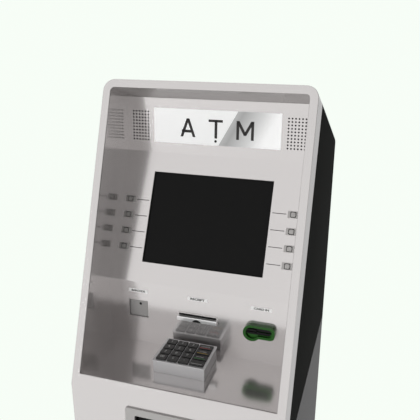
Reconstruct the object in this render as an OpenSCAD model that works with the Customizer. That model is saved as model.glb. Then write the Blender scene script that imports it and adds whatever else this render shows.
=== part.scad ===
// Free-standing cash machine: leaning light surround with a deep recess, black cabinet, safe below.
// Origin: centre of the footprint on the floor. X to the user's right, Y into the machine, Z up, millimetres.

/* [Cabinet] */
// Overall width of the surround, the black cabinet and the safe
body_w = 502; // [480:1:540]
// Front to back depth at floor level
body_d = 740; // [720:1:800]
// Height of the surround's top edge above the floor
body_h = 1597; // [1580:1:1620]
// Thickness of the black sheet metal
sheet = 2.5; // [2:0.5:3]
// How far the roof drops from its front edge to the rear
roof_drop = 160; // [140:1:190]

/* [Surround] */
// Lean of the surround back from vertical, degrees
frame_lean = 20.4; // [20:0.1:21]
// Depth of the light shell square to the surround's face
shell_depth = 82; // [76:1:86]
// Width of the rim at the sides and the top
rim_w = 19; // [16:1:21]
// Radius of the two top outer corners
outer_r = 28; // [20:1:34]
// Thickness of the moulded walls
wall = 3.4; // [3:0.1:4]

/* [Recess] */
// Depth of the recess at its top, square to the surround's face
top_depth = 92; // [88:1:94]
// Height of the sign panel
sign_h = 135.3; // [132:0.1:137]
// Lean of the sign panel back from vertical, degrees
sign_lean = 2.7; // [2:0.1:3.5]
// Height of the screen panel along its slope
screen_h = 328.2; // [326:0.1:330]
// Lean of the screen panel back from vertical, degrees
screen_lean = 25.7; // [25:0.1:26]
// Height of the upright reader panel
reader_h = 166.6; // [164:0.1:168]

/* [Sign] */
// Width of the lit sign lens
sign_lens_w = 320; // [310:1:324]
// Height of the lit sign lens
sign_lens_h = 85; // [80:1:87]
// Diameter of the loudspeaker grille holes
grille_d = 3.6; // [3:0.1:4]

/* [Display] */
// Width of the display opening
display_w = 304; // [300:1:306]
// Height of the display opening
display_h = 228; // [224:1:229]

/* [Keys] */
// Travel of a key beside the display
function_travel = 1.5; // [1.2:0.1:1.5]
// How far the keypad stands above the shelf
pad_rise = 30; // [24:1:32]
// Width of a keypad key
pad_key_w = 24; // [21:0.5:24]
// Depth of a keypad key
pad_key_d = 19; // [17:0.5:19]
// Travel of a keypad key
pad_travel = 2; // [1.5:0.1:2]

/* [Safe] */
// Steel thickness of the safe walls
safe_wall = 8; // [6:1:8]
// Throw of the locking bolts
bolt_throw = 18; // [14:1:18]

/* [Hidden] */
$fn = 64;
half_w = body_w / 2;
front_y = -body_d / 2;
rear_y = body_d / 2;
gap = 0.4;                       // clearance round a part that sits in an opening
part_gap = 1.5;                  // gap between the light shell and the black cabinet
apron_bottom_z = 800;
safe_top_z = 796;
plinth_h = 80;
opening_half_w = half_w - rim_w;

// A panel with a lean of L degrees back from vertical has this outward normal and this upward direction in (Y, Z).
function normal_of(lean) = [-cos(lean), sin(lean)];
function up_of(lean) = [sin(lean), cos(lean)];
// Corner of the back face where two panels of equal thickness meet.
function mitre(point, lean_a, lean_b, thick) =
    point - thick * (normal_of(lean_a) + normal_of(lean_b)) / (1 + normal_of(lean_a) * normal_of(lean_b));

// Profile of the surround and the recess in (Y, Z), found from the leans and heights.
face_run = 250;                  // how far the surround's top edge stands behind its foot
frame_top = [front_y + face_run, body_h];
// The knee is where the leaning face meets the upright front.
knee_z = body_h - face_run / tan(frame_lean);
frame_in = -normal_of(frame_lean);
frame_down = -up_of(frame_lean);
ceiling_lean = frame_lean - 90;
ceiling_front = frame_top + rim_w * frame_down;
sign_top = ceiling_front + top_depth * frame_in;
sign_foot = sign_top - sign_h * up_of(sign_lean);
screen_foot = sign_foot - screen_h * up_of(screen_lean);
reader_foot = screen_foot - reader_h * up_of(0);
// Point on the surround's leaning face at a given height.
function face_at(z) = [frame_top[0] - (body_h - z) * tan(frame_lean), z];
shelf_front = face_at(reader_foot[1]);
opening_run = norm(shelf_front - ceiling_front);
// The parting plane between the light shell and the black cabinet.
function parting_at(z, extra) = face_at(z) + [(shell_depth + extra) / cos(frame_lean), 0];
parting_top = frame_top + shell_depth * frame_in;
shell_top = frame_top + (shell_depth + part_gap) * frame_in;

// ---------------------------------------------------------------- helpers

// Lays a (Y, Z) outline across the machine, centred on X = 0.
module across(width) {
    rotate([90, 0, 90]) linear_extrude(width, center = true) children();
}

// Local frame of a leaning face: x to the right, y up the face, z out of it; the origin is at point (Y, Z).
module on_face(point, lean) {
    translate([0, point[0], point[1]]) rotate([90 - lean, 0, 0]) children();
}
module on_surround() { on_face(frame_top, frame_lean) children(); }
module on_sign() { on_face(sign_top, sign_lean) children(); }
module on_screen() { on_face(sign_foot, screen_lean) children(); }
module on_reader() { on_face(screen_foot, 0) children(); }
module on_shelf() { on_face(reader_foot, 90) children(); }
module on_apron() { on_face([front_y, knee_z], 0) children(); }

// Flat block centred in x and y, from z0 to z1.
module block(w, h, z0, z1) {
    translate([-w / 2, -h / 2, z0]) cube([w, h, z1 - z0]);
}
// The same with round corners.
module round_block(w, h, r, z0, z1) {
    translate([0, 0, z0]) linear_extrude(z1 - z0) round_rect(w, h, r);
}
module round_rect(w, h, r) {
    square([w - 2 * r, h], center = true);
    square([w, h - 2 * r], center = true);
    for (x = [-1, 1], y = [-1, 1]) translate([x * (w / 2 - r), y * (h / 2 - r)]) circle(r);
}
module disc(r, z0, z1) {
    translate([0, 0, z0]) cylinder(h = z1 - z0, r = r);
}
// Long prism along z whose two top corners are rounded; its top lies the inset below y = 0.
module rounded_top(inset, reach = 700) {
    length = 1800;
    translate([0, -length / 2 - inset, -reach]) linear_extrude(reach + 200)
        round_rect(2 * (half_w - inset), length, outer_r - inset);
}
// Block given by its low and high corners in machine coordinates.
module span(lo, hi) {
    translate(lo) cube(hi - lo);
}

// ---------------------------------------------------------------- base and safe

anchor_x = 380;
anchor_y = 560;
anchor_r = 8;

module plinth() {
    base_w = body_w - 22;
    base_d = body_d - 60;
    plate = 6;
    side = 5;
    flange_w = 45;               // flange that the safe stands on
    flange_t = 4;
    color([0.12, 0.12, 0.13]) difference() {
        block(base_w, base_d, 0, plinth_h);
        block(base_w - 2 * side, base_d - 2 * side, plate, plinth_h - flange_t);
        block(base_w - 2 * flange_w, base_d - 2 * flange_w, plinth_h - flange_t - 1, plinth_h + 1);
        for (x = [-1, 1], y = [-1, 1])
            translate([x * anchor_x / 2, y * anchor_y / 2, 0]) disc(anchor_r, -1, plate + 1);
    }
}

safe_front_y = front_y + 40;
jamb_w = 22;                     // width of the steel flange that the door closes on
note_slot = [204, 54];           // opening in the safe's roof for the note path
note_slot_y = safe_front_y + 66;
cable_hole = [180, 300];         // place of the cable hole in the safe's roof
cable_hole_r = 16;

module safe_body() {
    color([0.10, 0.10, 0.11]) difference() {
        span([-half_w, safe_front_y, plinth_h], [half_w, rear_y, safe_top_z]);
        span([-half_w + safe_wall, safe_front_y + safe_wall, plinth_h + safe_wall],
            [half_w - safe_wall, rear_y - safe_wall, safe_top_z - safe_wall]);
        span([-half_w + jamb_w, safe_front_y - 1, plinth_h + jamb_w],
            [half_w - jamb_w, safe_front_y + safe_wall + 1, safe_top_z - jamb_w]);
        translate([0, note_slot_y, 0]) block(note_slot[0], note_slot[1], safe_top_z - safe_wall - 1, safe_top_z + 1);
        // room for the hinge knuckles at the front corner
        for (z = safe_hinge_z) translate([hinge_x, safe_hinge_y, z - 1])
            cylinder(h = 2 * knuckle_h + 4, r = knuckle_r + knuckle_clear);
        translate(cable_hole) disc(cable_hole_r, safe_top_z - safe_wall - 1, safe_top_z + 1);
    }
}

hinge_x = -half_w - 2;           // both hinge lines stand just outside the left side
pin_r = 4;
knuckle_r = 8;
pin_clear = 0.05;
safe_hinge_y = safe_front_y - 1;
safe_hinge_z = [200, 660];
knuckle_h = 34;
knuckle_clear = 0.6;             // gap round a knuckle in the part that it passes
leaf_t = 8;                      // thickness of a safe hinge's leaf

module safe_knuckle(z, r) {
    translate([hinge_x, safe_hinge_y, z]) cylinder(h = knuckle_h, r = r);
}

// Fixed knuckles with their pins; the door's knuckles turn on the pins above them.
module safe_hinges() {
    color([0.45, 0.45, 0.47]) for (z = safe_hinge_z) {
        translate([hinge_x, safe_hinge_y, z]) cylinder(h = 2 * knuckle_h, r = pin_r);
        difference() {
            union() {
                safe_knuckle(z, knuckle_r);
                translate([-half_w - leaf_t, safe_hinge_y + 1, z]) cube([leaf_t, 40, knuckle_h]);
            }
            span([-half_w, safe_front_y - 20, z - 1], [0, safe_front_y + 60, z + knuckle_h + 1]);
        }
    }
}

door_bottom_z = plinth_h + 4;
door_top_z = safe_top_z - 16;    // low enough for the open surround to swing over the open door
door_skin = 10;
door_return = 20;
bolt_bar_x = 180;
bolt_bar = [22, 12];
bolt_y = safe_front_y + 28;
bolt_z = [230, 440, 650];
bolt_r = 9;
bolt_length = 36;
guide_x = [-20, 38];             // sides of a bar guide, from the middle of the bar
guide_z = [-34, -18];            // foot and top of a bar guide, from the middle of its bolt
handle_x = 70;
handle_z = 560;
shaft_r = 7;
dial_x = -70;
dial_z = 590;
dial_shaft_r = 5;

module safe_door() {
    door_h = door_top_z - door_bottom_z;
    back_y = safe_front_y - 2;
    color([0.13, 0.13, 0.14]) difference() {
        union() {
            difference() {
                span([-half_w, front_y, door_bottom_z], [half_w, back_y, door_top_z]);
                span([-half_w + door_return, front_y + door_skin, door_bottom_z + door_return],
                    [half_w - door_return, back_y + 1, door_top_z - door_return]);
            }
            // guides that carry the bolt bar
            for (z = bolt_z) difference() {
                span([bolt_bar_x + guide_x[0], front_y + door_skin - 1, z + guide_z[0]],
                    [bolt_bar_x + guide_x[1], bolt_y + 10, z + guide_z[1]]);
                span([bolt_bar_x - bolt_bar[0] / 2 - gap, bolt_y - bolt_bar[1] / 2 - gap, z + guide_z[0] - 1],
                    [bolt_bar_x + bolt_bar[0] / 2 + bolt_throw + gap, bolt_y + bolt_bar[1] / 2 + gap,
                    z + guide_z[1] + 1]);
            }
            for (z = safe_hinge_z) {
                safe_knuckle(z + knuckle_h + gap, knuckle_r);
                translate([-half_w - leaf_t, front_y + 8, z + knuckle_h + gap]) cube([leaf_t, 30, knuckle_h]);
            }
        }
        for (z = safe_hinge_z) {
            translate([0, 0, -1]) safe_knuckle(z + knuckle_h, pin_r + pin_clear);
            translate([0, 0, 2]) safe_knuckle(z + knuckle_h, pin_r + pin_clear);
            // clear the fixed knuckle
            translate([hinge_x, safe_hinge_y, z - 2 * gap])
                cylinder(h = knuckle_h + 3 * gap, r = knuckle_r + knuckle_clear);
        }
        translate([handle_x, front_y, handle_z]) rotate([-90, 0, 0]) disc(shaft_r + pin_clear, -1, door_skin + 1);
        translate([dial_x, front_y, dial_z]) rotate([-90, 0, 0]) disc(dial_shaft_r + pin_clear, -1, door_skin + 1);
    }
}

// Lever handle: hub, tapered arm and shaft with a crank behind the skin.
module safe_handle() {
    rose_r = 30;                 // round plate behind the lever
    rose_t = 12;
    hub_r = 16;
    hub_top = 30;
    arm = [144, 24];
    arm_x = 52;
    arm_z = [24, 36];
    crank = [76, 20];
    crank_x = 24;
    crank_z = [-door_skin - 14, -door_skin - 8];
    color([0.75, 0.76, 0.78]) translate([handle_x, front_y, handle_z]) rotate([90, 0, 0]) {
        disc(rose_r, gap, rose_t);
        disc(hub_r, rose_t - 1, hub_top);
        translate([arm_x, 0, 0]) round_block(arm[0], arm[1], arm[1] / 2 - 0.1, arm_z[0], arm_z[1]);
        disc(shaft_r, crank_z[0], 1);
        translate([crank_x, 0, 0]) block(crank[0], crank[1], crank_z[0], crank_z[1]);
    }
}

module locking_bolts() {
    bar_z = [bolt_z[0] - 60, bolt_z[2] + 40];
    color([0.70, 0.71, 0.73]) {
        span([bolt_bar_x - bolt_bar[0] / 2, bolt_y - bolt_bar[1] / 2, bar_z[0]],
            [bolt_bar_x + bolt_bar[0] / 2, bolt_y + bolt_bar[1] / 2, bar_z[1]]);
        for (z = bolt_z) translate([bolt_bar_x + 5, bolt_y, z]) rotate([0, 90, 0])
            cylinder(h = bolt_length, r = bolt_r);
    }
}

module combination_dial() {
    ring_r = 38;
    ring_t = 8;
    knob_r = 24;
    knob_top = 32;
    groove_r = 3;
    color([0.15, 0.15, 0.16]) translate([dial_x, front_y, dial_z]) rotate([90, 0, 0]) {
        disc(ring_r, gap, ring_t);
        difference() {
            disc(knob_r, ring_t - 1, knob_top);
            for (a = [0:30:330]) rotate(a) translate([knob_r + groove_r / 2, 0, 0])
                disc(groove_r, ring_t + 1, knob_top + 1);
        }
        disc(dial_shaft_r, -door_skin - 10, 1);
    }
}

// ---------------------------------------------------------------- black cabinet and what it holds

strike_y = safe_front_y + 32;
strike_z = [848, 876];           // foot and top of the tab that the lock cam turns behind
fan_x = 110;
fan_z = 1230;
fan_half = 60;
fan_bore_r = 56;
fan_shaft_r = 3;
fan_slot_pitch = 12;             // slots of the fan outlet in the back
fan_slot_h = 7;
fan_outlet_r = 54;
louvre_x = [-190, -10];
louvre_z = 1120;
louvre_pitch = 18;
louvre_h = 6;
inlet_x = 180;
inlet_z = 850;

roof_lean = atan(roof_drop / (rear_y - shell_top[0]));

// Side outline of the black cabinet, moved inwards by the given amount.
module cabinet_outline(inset) {
    low = safe_top_z + inset;
    sink = inset / cos(roof_lean);
    roof_rear = [rear_y - inset, shell_top[1] - roof_drop - sink];
    polygon([parting_at(low, part_gap), shell_top - [0, sink], roof_rear, [rear_y - inset, low]]);
}
// The cabinet's envelope with its long roof corners rounded.
module cabinet_body(inset) {
    intersection() {
        across(2 * (half_w - inset)) cabinet_outline(inset);
        on_face(shell_top, roof_lean) rounded_top(inset);
    }
}

module cabinet_shell() {
    floor_flange = 12;
    color([0.07, 0.07, 0.08]) difference() {
        union() {
            difference() {
                cabinet_body(0);
                cabinet_body(sheet);
                // open front and floor
                on_surround() translate([0, 0, -shell_depth]) rounded_top(sheet, 20);
                span([-half_w + floor_flange, safe_front_y + 22, safe_top_z - 5],
                    [half_w - floor_flange, rear_y - floor_flange, safe_top_z + 5]);
            }
            // strike tab for the fascia lock
            span([half_w - 12, strike_y, strike_z[0]], [half_w - sheet + 0.1, strike_y + 6, strike_z[1]]);
        }
        // notches for the moving hinge knuckles
        on_hinge_line() for (d = fascia_hinge_run) hinge_barrel(d - knuckle_h - 2, knuckle_h + 4, notch_r);
        // louvres low in the back, the fan outlet and the mains inlet
        for (i = [0:9]) span([louvre_x[0], rear_y - sheet - 1, louvre_z + i * louvre_pitch],
            [louvre_x[1], rear_y + 1, louvre_z + i * louvre_pitch + louvre_h]);
        for (i = [-4:4]) translate([fan_x, rear_y, fan_z + i * fan_slot_pitch]) rotate([90, 0, 0])
            block(2 * sqrt(pow(fan_outlet_r, 2) - pow(i * fan_slot_pitch, 2)), fan_slot_h, -1, sheet + 1);
        translate([inlet_x, rear_y, inlet_z]) rotate([90, 0, 0])
            block(inlet_body[0] + 0.6, inlet_body[1] + 0.6, -1, sheet + 1);
    }
}

module cooling_fan() {
    depth = 32;
    screw = [52.5, 2.2];         // place and radius of the corner holes
    motor_r = 18;
    strut = [42, 6, 3];
    color([0.08, 0.08, 0.09]) translate([fan_x, rear_y - sheet, fan_z]) rotate([90, 0, 0]) {
        difference() {
            round_block(2 * fan_half, 2 * fan_half, 6, 0, depth);
            disc(fan_bore_r, -1, depth + 1);
            for (x = [-1, 1], y = [-1, 1]) translate([x * screw[0], y * screw[0], 0]) disc(screw[1], -1, depth + 1);
        }
        disc(motor_r, 0, 4);
        disc(fan_shaft_r, 0, 12);
        for (a = [45:90:315]) rotate(a) translate([motor_r - 2, -strut[1] / 2, 0]) cube(strut);
    }
}

module fan_rotor() {
    hub_r = 20;
    blade = [38, 2.4, 18];
    blades = 7;
    color([0.05, 0.05, 0.06]) translate([fan_x, rear_y - sheet, fan_z]) rotate([90, 0, 0]) difference() {
        union() {
            disc(hub_r, 5, 28);
            for (a = [0:360 / blades:359]) rotate(a)
                translate([hub_r - 5, -blade[1] / 2, 8]) rotate([35, 0, 0]) cube(blade);
        }
        disc(fan_shaft_r + pin_clear, 4, 13);
    }
}

inlet_body = [28, 24];
module power_inlet() {
    plate = [48, 28];
    cavity = [23, 17];
    cavity_floor = -16;
    color([0.05, 0.05, 0.05]) translate([inlet_x, rear_y, inlet_z]) rotate([-90, 0, 0]) difference() {
        union() {
            round_block(plate[0], plate[1], 3, 0, 2.5);
            block(inlet_body[0], inlet_body[1], -24, 1);
        }
        block(cavity[0], cavity[1], cavity_floor, 3);
    }
    // three flat pins, the middle one higher
    color([0.75, 0.72, 0.55]) translate([inlet_x, rear_y, inlet_z]) rotate([-90, 0, 0])
        for (x = [-7, 0, 7]) translate([x, x == 0 ? 3 : -1.5, 0]) block(2, 4, cavity_floor - 0.5, -4);
}

module power_supply() {
    low = [40, 120, safe_top_z + 4];
    size = [100, 210, 90];
    slot = [14, 6, 50];
    color([0.62, 0.63, 0.65]) difference() {
        translate(low) cube(size);
        for (i = [0:11]) translate(low + [-10, 30 + 13 * i, 20]) cube(slot);
    }
}

module computer_box() {
    low = [-225, 60, safe_top_z + 4];
    size = [200, 280, 296];
    slot = [16, 7, 100];
    bay = [130, 9, 42];          // drive bay in the front
    color([0.55, 0.56, 0.58]) difference() {
        translate(low) cube(size);
        for (i = [0:15]) translate(low + [size[0] - 11, 30 + 14 * i, 36]) cube(slot);
        translate(low + [35, -5, 216]) cube(bay);
    }
}

cassette = [240, 500, 112];
cassette_y = -260;
cassette_z = [112, 232, 352];

// Frame that holds the cassettes, the pick unit over them and the note path up to the outlet.
module cash_dispenser() {
    side_x = cassette[0] / 2 + 6;
    side_t = 4;
    frame_top_z = 700;
    pick_low_z = 480;            // foot of the pick unit
    path_top_z = 872;
    path_half_w = 98;
    lip_half_w = 88;
    nose_y0 = note_slot_y - note_slot[1] / 2 + 3;
    nose_y1 = note_slot_y + note_slot[1] / 2 - 3;
    color([0.60, 0.61, 0.63]) {
        for (side = [-1, 1]) translate([side * (side_x + side_t / 2), 0, 0])
            span([-side_t / 2, -270, plinth_h + safe_wall], [side_t / 2, 290, frame_top_z]);
        span([-side_x, -262, pick_low_z], [side_x, 280, frame_top_z]);
        span([-path_half_w, nose_y0, frame_top_z - 10], [path_half_w, nose_y1, path_top_z]);
        // lip that hands the notes to the outlet
        span([-lip_half_w, nose_y0 - 58, path_top_z - 20], [lip_half_w, nose_y0 + 1, path_top_z]);
        // shelf under each cassette
        for (z = cassette_z) span([-side_x, -230, z - 8], [side_x, 260, z - 4]);
    }
}

module cash_cassettes() {
    rail = [7, 400, 50];         // sunk band along each side
    hold = [120, 25, 28];        // hand hold in the front
    color([0.25, 0.27, 0.30]) for (z = cassette_z) translate([0, cassette_y, z]) difference() {
        span([-cassette[0] / 2, 0, 0], [cassette[0] / 2, cassette[1], cassette[2] - 4]);
        translate([-hold[0] / 2, -1, 60]) cube(hold);
        for (side = [-1, 1])
            translate([side * (cassette[0] / 2 + 1 - rail[0] / 2) - rail[0] / 2, 60, 30]) cube(rail);
    }
}

// ---------------------------------------------------------------- light surround

// The surround's envelope with its two top corners rounded.
module surround_body(inset) {
    intersection() {
        across(2 * (half_w - inset)) surround_outline(inset);
        on_surround() rounded_top(inset);
    }
}

module opening_outline() {
    inner_r = 8;
    translate([0, -rim_w - opening_run / 2]) round_rect(2 * opening_half_w, opening_run, inner_r);
}

module surround_outline(inset) {
    low = apron_bottom_z + inset;
    polygon([frame_top + inset * (frame_in + frame_down), mitre([front_y, knee_z], frame_lean, 0, inset),
        [front_y + inset, low], parting_at(low, 0), parting_top + inset * frame_down]);
}

fascia_hinge_run = [190, 690];   // distance of each hinge down the surround's face
lock_length = 82;
hinge_depth = shell_depth + part_gap / 2;
leaning_barrel_r = 6;            // knuckles and pins of the leaning hinges
leaning_pin_r = 3;
notch_r = 7.5;

// Local frame of the leaning hinge line: y runs up the line.
module on_hinge_line() {
    on_surround() translate([hinge_x, 0, -hinge_depth]) children();
}
module hinge_barrel(run, length, r) {
    translate([0, -run, 0]) rotate([90, 0, 0]) cylinder(h = length, r = r);
}

module surround_frame() {
    color([0.84, 0.83, 0.82]) difference() {
        union() {
            difference() {
                surround_body(0);
                surround_body(wall);
                // open back, above the floor of the apron
                intersection() {
                    on_surround() translate([0, 0, -shell_depth - 40]) linear_extrude(60) translate([0, -900 - wall])
                        round_rect(2 * (half_w - wall), 1800, outer_r - wall);
                    span([-half_w, -400, apron_bottom_z + wall], [half_w, 100, body_h]);
                }
            }
            on_hinge_line() for (d = fascia_hinge_run) {
                hinge_barrel(d - knuckle_h, knuckle_h, leaning_barrel_r);
                translate([0, -d, 0]) cube([leaning_barrel_r, knuckle_h, 20]);
            }
        }
        // the opening that the recess stands in
        on_surround() translate([0, 0, -20]) linear_extrude(40) opening_outline();
        on_hinge_line() for (d = fascia_hinge_run) {
            hinge_barrel(d - knuckle_h - 1, knuckle_h + 2, leaning_pin_r + pin_clear);
            hinge_barrel(d - gap, knuckle_h + 2 * gap, leaning_barrel_r + 1);
        }
        on_apron() {
            translate([0, outlet_y, 0]) block(outlet_neck[0] + 2 * gap, outlet_neck[1] + 2 * gap, -20, 20);
            translate([lock_x, outlet_y, 0]) disc(lock_r + gap, -20, 20);
        }
    }
}

// Fixed knuckles and pins of the leaning hinge, each on a short strap riveted to the cabinet's side.
module fascia_hinges() {
    strap = [4, 34];             // thickness and length of the strap
    color([0.30, 0.30, 0.32]) difference() {
        on_hinge_line() for (d = fascia_hinge_run) {
            hinge_barrel(d - knuckle_h, 2 * knuckle_h, leaning_pin_r);
            hinge_barrel(d + gap, knuckle_h - gap, leaning_barrel_r);
            translate([-strap[0] / 2, -d - knuckle_h, -strap[1]]) cube([strap[0], knuckle_h - gap, strap[1]]);
        }
        translate([-half_w, -400, 700]) cube([body_w, 900, 900]);
    }
}

// Moulded tub: ceiling, sign, screen and reader panels, shelf and both side walls in one piece.
module recess_air(reach) {
    polygon([ceiling_front - reach * frame_in, sign_top, sign_foot, screen_foot, reader_foot,
        shelf_front - [reach / cos(frame_lean), 0]]);
}
module recess_outer() {
    polygon([
        ceiling_front + wall * (frame_in - frame_down),
        mitre(sign_top, ceiling_lean, sign_lean, wall),
        mitre(sign_foot, sign_lean, screen_lean, wall),
        mitre(screen_foot, screen_lean, 0, wall),
        mitre(reader_foot, 0, 90, wall),
        face_at(reader_foot[1] - wall) + [wall / cos(frame_lean), 0]
    ]);
}

module recess_panel() {
    grille_x = 176;              // innermost column and top row of the grille holes
    grille_y = 35;
    grille_pitch = [8, 7.8];
    color([0.81, 0.80, 0.79]) difference() {
        across(2 * (opening_half_w + wall)) recess_outer();
        intersection() {
            across(2 * opening_half_w) recess_air(10);
            on_surround() translate([0, 0, -260]) linear_extrude(300) opening_outline();
        }
        on_sign() {
            translate([0, sign_y, 0]) block(sign_lens_w + gap, sign_lens_h + gap, -20, 20);
            for (side = [-1, 1], i = [0:5], j = [0:9])
                translate([side * (grille_x + grille_pitch[0] * i), -grille_y - grille_pitch[1] * j, 0])
                    cylinder(h = 20, r = grille_d / 2, center = true, $fn = 24);
        }
        on_screen() {
            translate([0, display_y, 0]) block(display_w, display_h, -20, 20);
            for (side = [-1, 1], k = [0:3]) at_function_key(side, k) block(sleeve[0] + 0.6, sleeve[1] + 0.6, -20, 20);
        }
        on_reader() {
            translate([scanner_x, scanner_y, 0]) block(scanner[0] + gap, scanner[1] + gap, -20, 20);
            translate([0, receipt_slot_y, 0]) block(receipt_neck[0] + 0.6, receipt_neck[1] + 0.6, -20, 20);
            translate([card_slot_x, card_slot_y, 0]) block(card_neck[0] + 0.8, card_neck[1] + 0.8, -20, 20);
        }
        on_shelf() translate([pad_x, pad_y, 0]) block(pad_box[0] + gap, pad_box[1] + gap, -20, 20);
    }
}

// ---------------------------------------------------------------- sign

sign_y = -67;
camera_y = -99;
camera_r = 3;
camera_body_r = 11;
sign_box_d = 38;
sign_flange = 6;                 // border of the lens behind the panel
sign_back = -wall - 2.5;         // back of the lens

module sign_lens() {
    color([0.95, 0.95, 0.95, 0.9]) on_sign() difference() {
        translate([0, sign_y, 0]) {
            block(sign_lens_w, sign_lens_h, -wall - 1, 1);
            block(sign_lens_w + 2 * sign_flange, sign_lens_h + 2 * sign_flange, sign_back, -wall);
        }
        translate([0, camera_y, 0]) disc(camera_r + gap, -20, 20);
    }
}

module sign_light_box() {
    box_w = sign_lens_w + 2 * sign_flange;
    box_h = sign_lens_h + 2 * sign_flange;
    tray_wall = 3;
    tray_floor = sign_back - sign_box_d + 2.5;
    lamp = 6;
    lamp_pitch = 24;
    color([0.85, 0.85, 0.86]) on_sign() difference() {
        translate([0, sign_y, 0]) block(box_w, box_h, sign_back - sign_box_d, sign_back);
        translate([0, sign_y, 0]) block(box_w - 2 * tray_wall, box_h - 2 * tray_wall, tray_floor, 0);
        translate([0, camera_y, 0]) disc(camera_body_r + gap, -60, 0);
    }
    // two strips of lamps on the tray's floor
    color([0.95, 0.93, 0.80]) on_sign() for (row = [-15, 20], i = [-6:6])
        translate([i * lamp_pitch, sign_y + row, 0]) block(lamp, lamp, tray_floor - 0.1, tray_floor + 2);
}

module pinhole_camera() {
    tube_end = -60;
    board = [30, 24, 9];
    color([0.02, 0.02, 0.02]) on_sign() translate([0, camera_y, 0]) {
        disc(camera_r, -wall - 4, 1.5);
        disc(camera_body_r, tube_end, -wall - 3);
        translate([0, 0, tube_end - board[2] + 1]) round_block(board[0], board[1], 2, 0, board[2]);
    }
}

module speakers() {
    driver_r = 22;
    driver_span = 40;            // between the two round ends of a driver
    magnet_r = 14;
    frame_t = 10;
    color([0.08, 0.08, 0.08]) on_sign() for (side = [-1, 1]) translate([side * 197, -70, 0]) {
        translate([0, 0, -wall - frame_t]) linear_extrude(frame_t) {
            square([2 * driver_r, driver_span], center = true);
            for (y = [-driver_span / 2, driver_span / 2]) translate([0, y]) circle(driver_r);
        }
        for (y = [-18, 18]) translate([0, y, 0]) disc(magnet_r, -wall - frame_t - 12, -wall - frame_t + 1);
    }
}

// ---------------------------------------------------------------- display and its keys

display_y = -50 - display_h / 2;
function_x = 206;
function_y = -124.7;
function_pitch = 40;
sleeve = [16.4, 14.8];           // guide behind each key's frame
sleeve_floor = -9;
glass_t = 3;

module at_function_key(side, k) {
    translate([side * function_x, function_y - k * function_pitch, 0]) children();
}

module display_glass() {
    color([0.05, 0.05, 0.05]) on_screen() translate([0, display_y, 0])
        block(display_w + 14, display_h + 12, -wall - glass_t, -wall);
}

module display_module() {
    panel_t = 23;
    board = [180, 120];
    board_t = 18;
    panel_back = -wall - glass_t - panel_t;
    color([0.55, 0.56, 0.58]) on_screen() translate([0, display_y, 0]) {
        block(display_w + 26, display_h + 20, panel_back, -wall - glass_t);
        block(board[0], board[1], panel_back - board_t, panel_back + 1);
    }
}

// Silver frames beside the display; each has a sleeve that guides its key through the panel.
module key_housings() {
    plate = [26, 16.5];
    hole = [13.6, 13.2];
    color([0.66, 0.66, 0.66]) on_screen() for (side = [-1, 1], k = [0:3]) at_function_key(side, k) difference() {
        union() {
            round_block(plate[0], plate[1], 2.5, 0, 2);
            block(sleeve[0], sleeve[1], -10, 1);
        }
        round_block(hole[0], hole[1], 2.6, sleeve_floor, 3);
    }
}

module function_key(side, k) {
    cap = [12.6, 12.2];
    color([0.70, 0.70, 0.70]) on_screen() at_function_key(side, k)
        round_block(cap[0], cap[1], 2.1, sleeve_floor + function_travel + gap, 2 + function_travel);
}

// ---------------------------------------------------------------- reader panel

scanner_x = -156;
scanner_y = -73.5;
scanner = [50.6, 45.6];
receipt_slot_y = -67.5;
receipt_neck = [87.4, 5.4];      // part of the bezel that passes through the panel
card_slot_x = 156;
card_slot_y = -81;
card_neck = [65.2, 15.2];
card_mouth = [56, 3];
label_y = -24.5;

module label_plates() {
    plate = [51, 9];
    color([0.93, 0.93, 0.93]) on_reader() for (x = [-155, 0, 156.5])
        translate([x, label_y, 0]) round_block(plate[0], plate[1], 1, 0, 0.8);
}

// Recessed window with a lens for reading codes held up to it.
module scanner_window() {
    back = -16;
    flange = 3.2;
    window = [45, 40];
    eye = [4.3, 12];
    color([0.55, 0.55, 0.55]) on_reader() translate([scanner_x, scanner_y, 0]) difference() {
        union() {
            block(scanner[0], scanner[1], back, 0);
            block(scanner[0] + 2 * flange, scanner[1] + 2 * flange, back, -wall);
        }
        block(window[0], window[1], -9, 1);
        translate(eye) disc(4, -13, 1);
    }
}

module receipt_bezel() {
    base = [104, 23];
    base_y = -70.5;
    bar = [101, 11.5];
    bar_y = -77.8;
    bar_front = 13;
    notch_r = 12.5;
    color([0.88, 0.88, 0.89]) on_reader() difference() {
        union() {
            translate([0, base_y, 0]) round_block(base[0], base[1], 2, 0, 2);
            translate([0, receipt_slot_y, 0]) block(receipt_neck[0], receipt_neck[1], -wall - 6, 1);
            // polished bar under the slot
            translate([0, bar_y, 0]) round_block(bar[0], bar[1], 1.5, 1, bar_front);
        }
        translate([0, receipt_slot_y, 0]) block(82, slip_h, -20, 20);
        // thumb notch in the bar's lower edge
        translate([0, -85.5, 0]) disc(notch_r, 2.5, bar_front + 7);
    }
}

slip_h = 3;                      // height of the receipt slot
roll_r = 38;
spindle_r = 6;
roll_y = -10;
roll_z = 1006;

module receipt_printer() {
    case = [120, 72];
    case_y = -76;
    case_back = -130;
    arm_x = 50;
    arm_t = 4;
    arm_h = 24;
    color([0.16, 0.17, 0.18]) {
        on_reader() difference() {
            translate([0, case_y, 0]) block(case[0], case[1], case_back, -wall - 6);
            translate([0, receipt_slot_y, 0]) block(84, slip_h, case_back - 1, 0);
        }
        // arms and spindle that carry the paper roll
        for (side = [-1, 1]) span([side * arm_x - arm_t / 2, screen_foot[0] - case_back - 1, roll_z - arm_h / 2],
            [side * arm_x + arm_t / 2, roll_y + 14, roll_z + arm_h / 2]);
        translate([-arm_x, roll_y, roll_z]) rotate([0, 90, 0]) cylinder(h = 2 * arm_x, r = spindle_r);
    }
}

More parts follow.
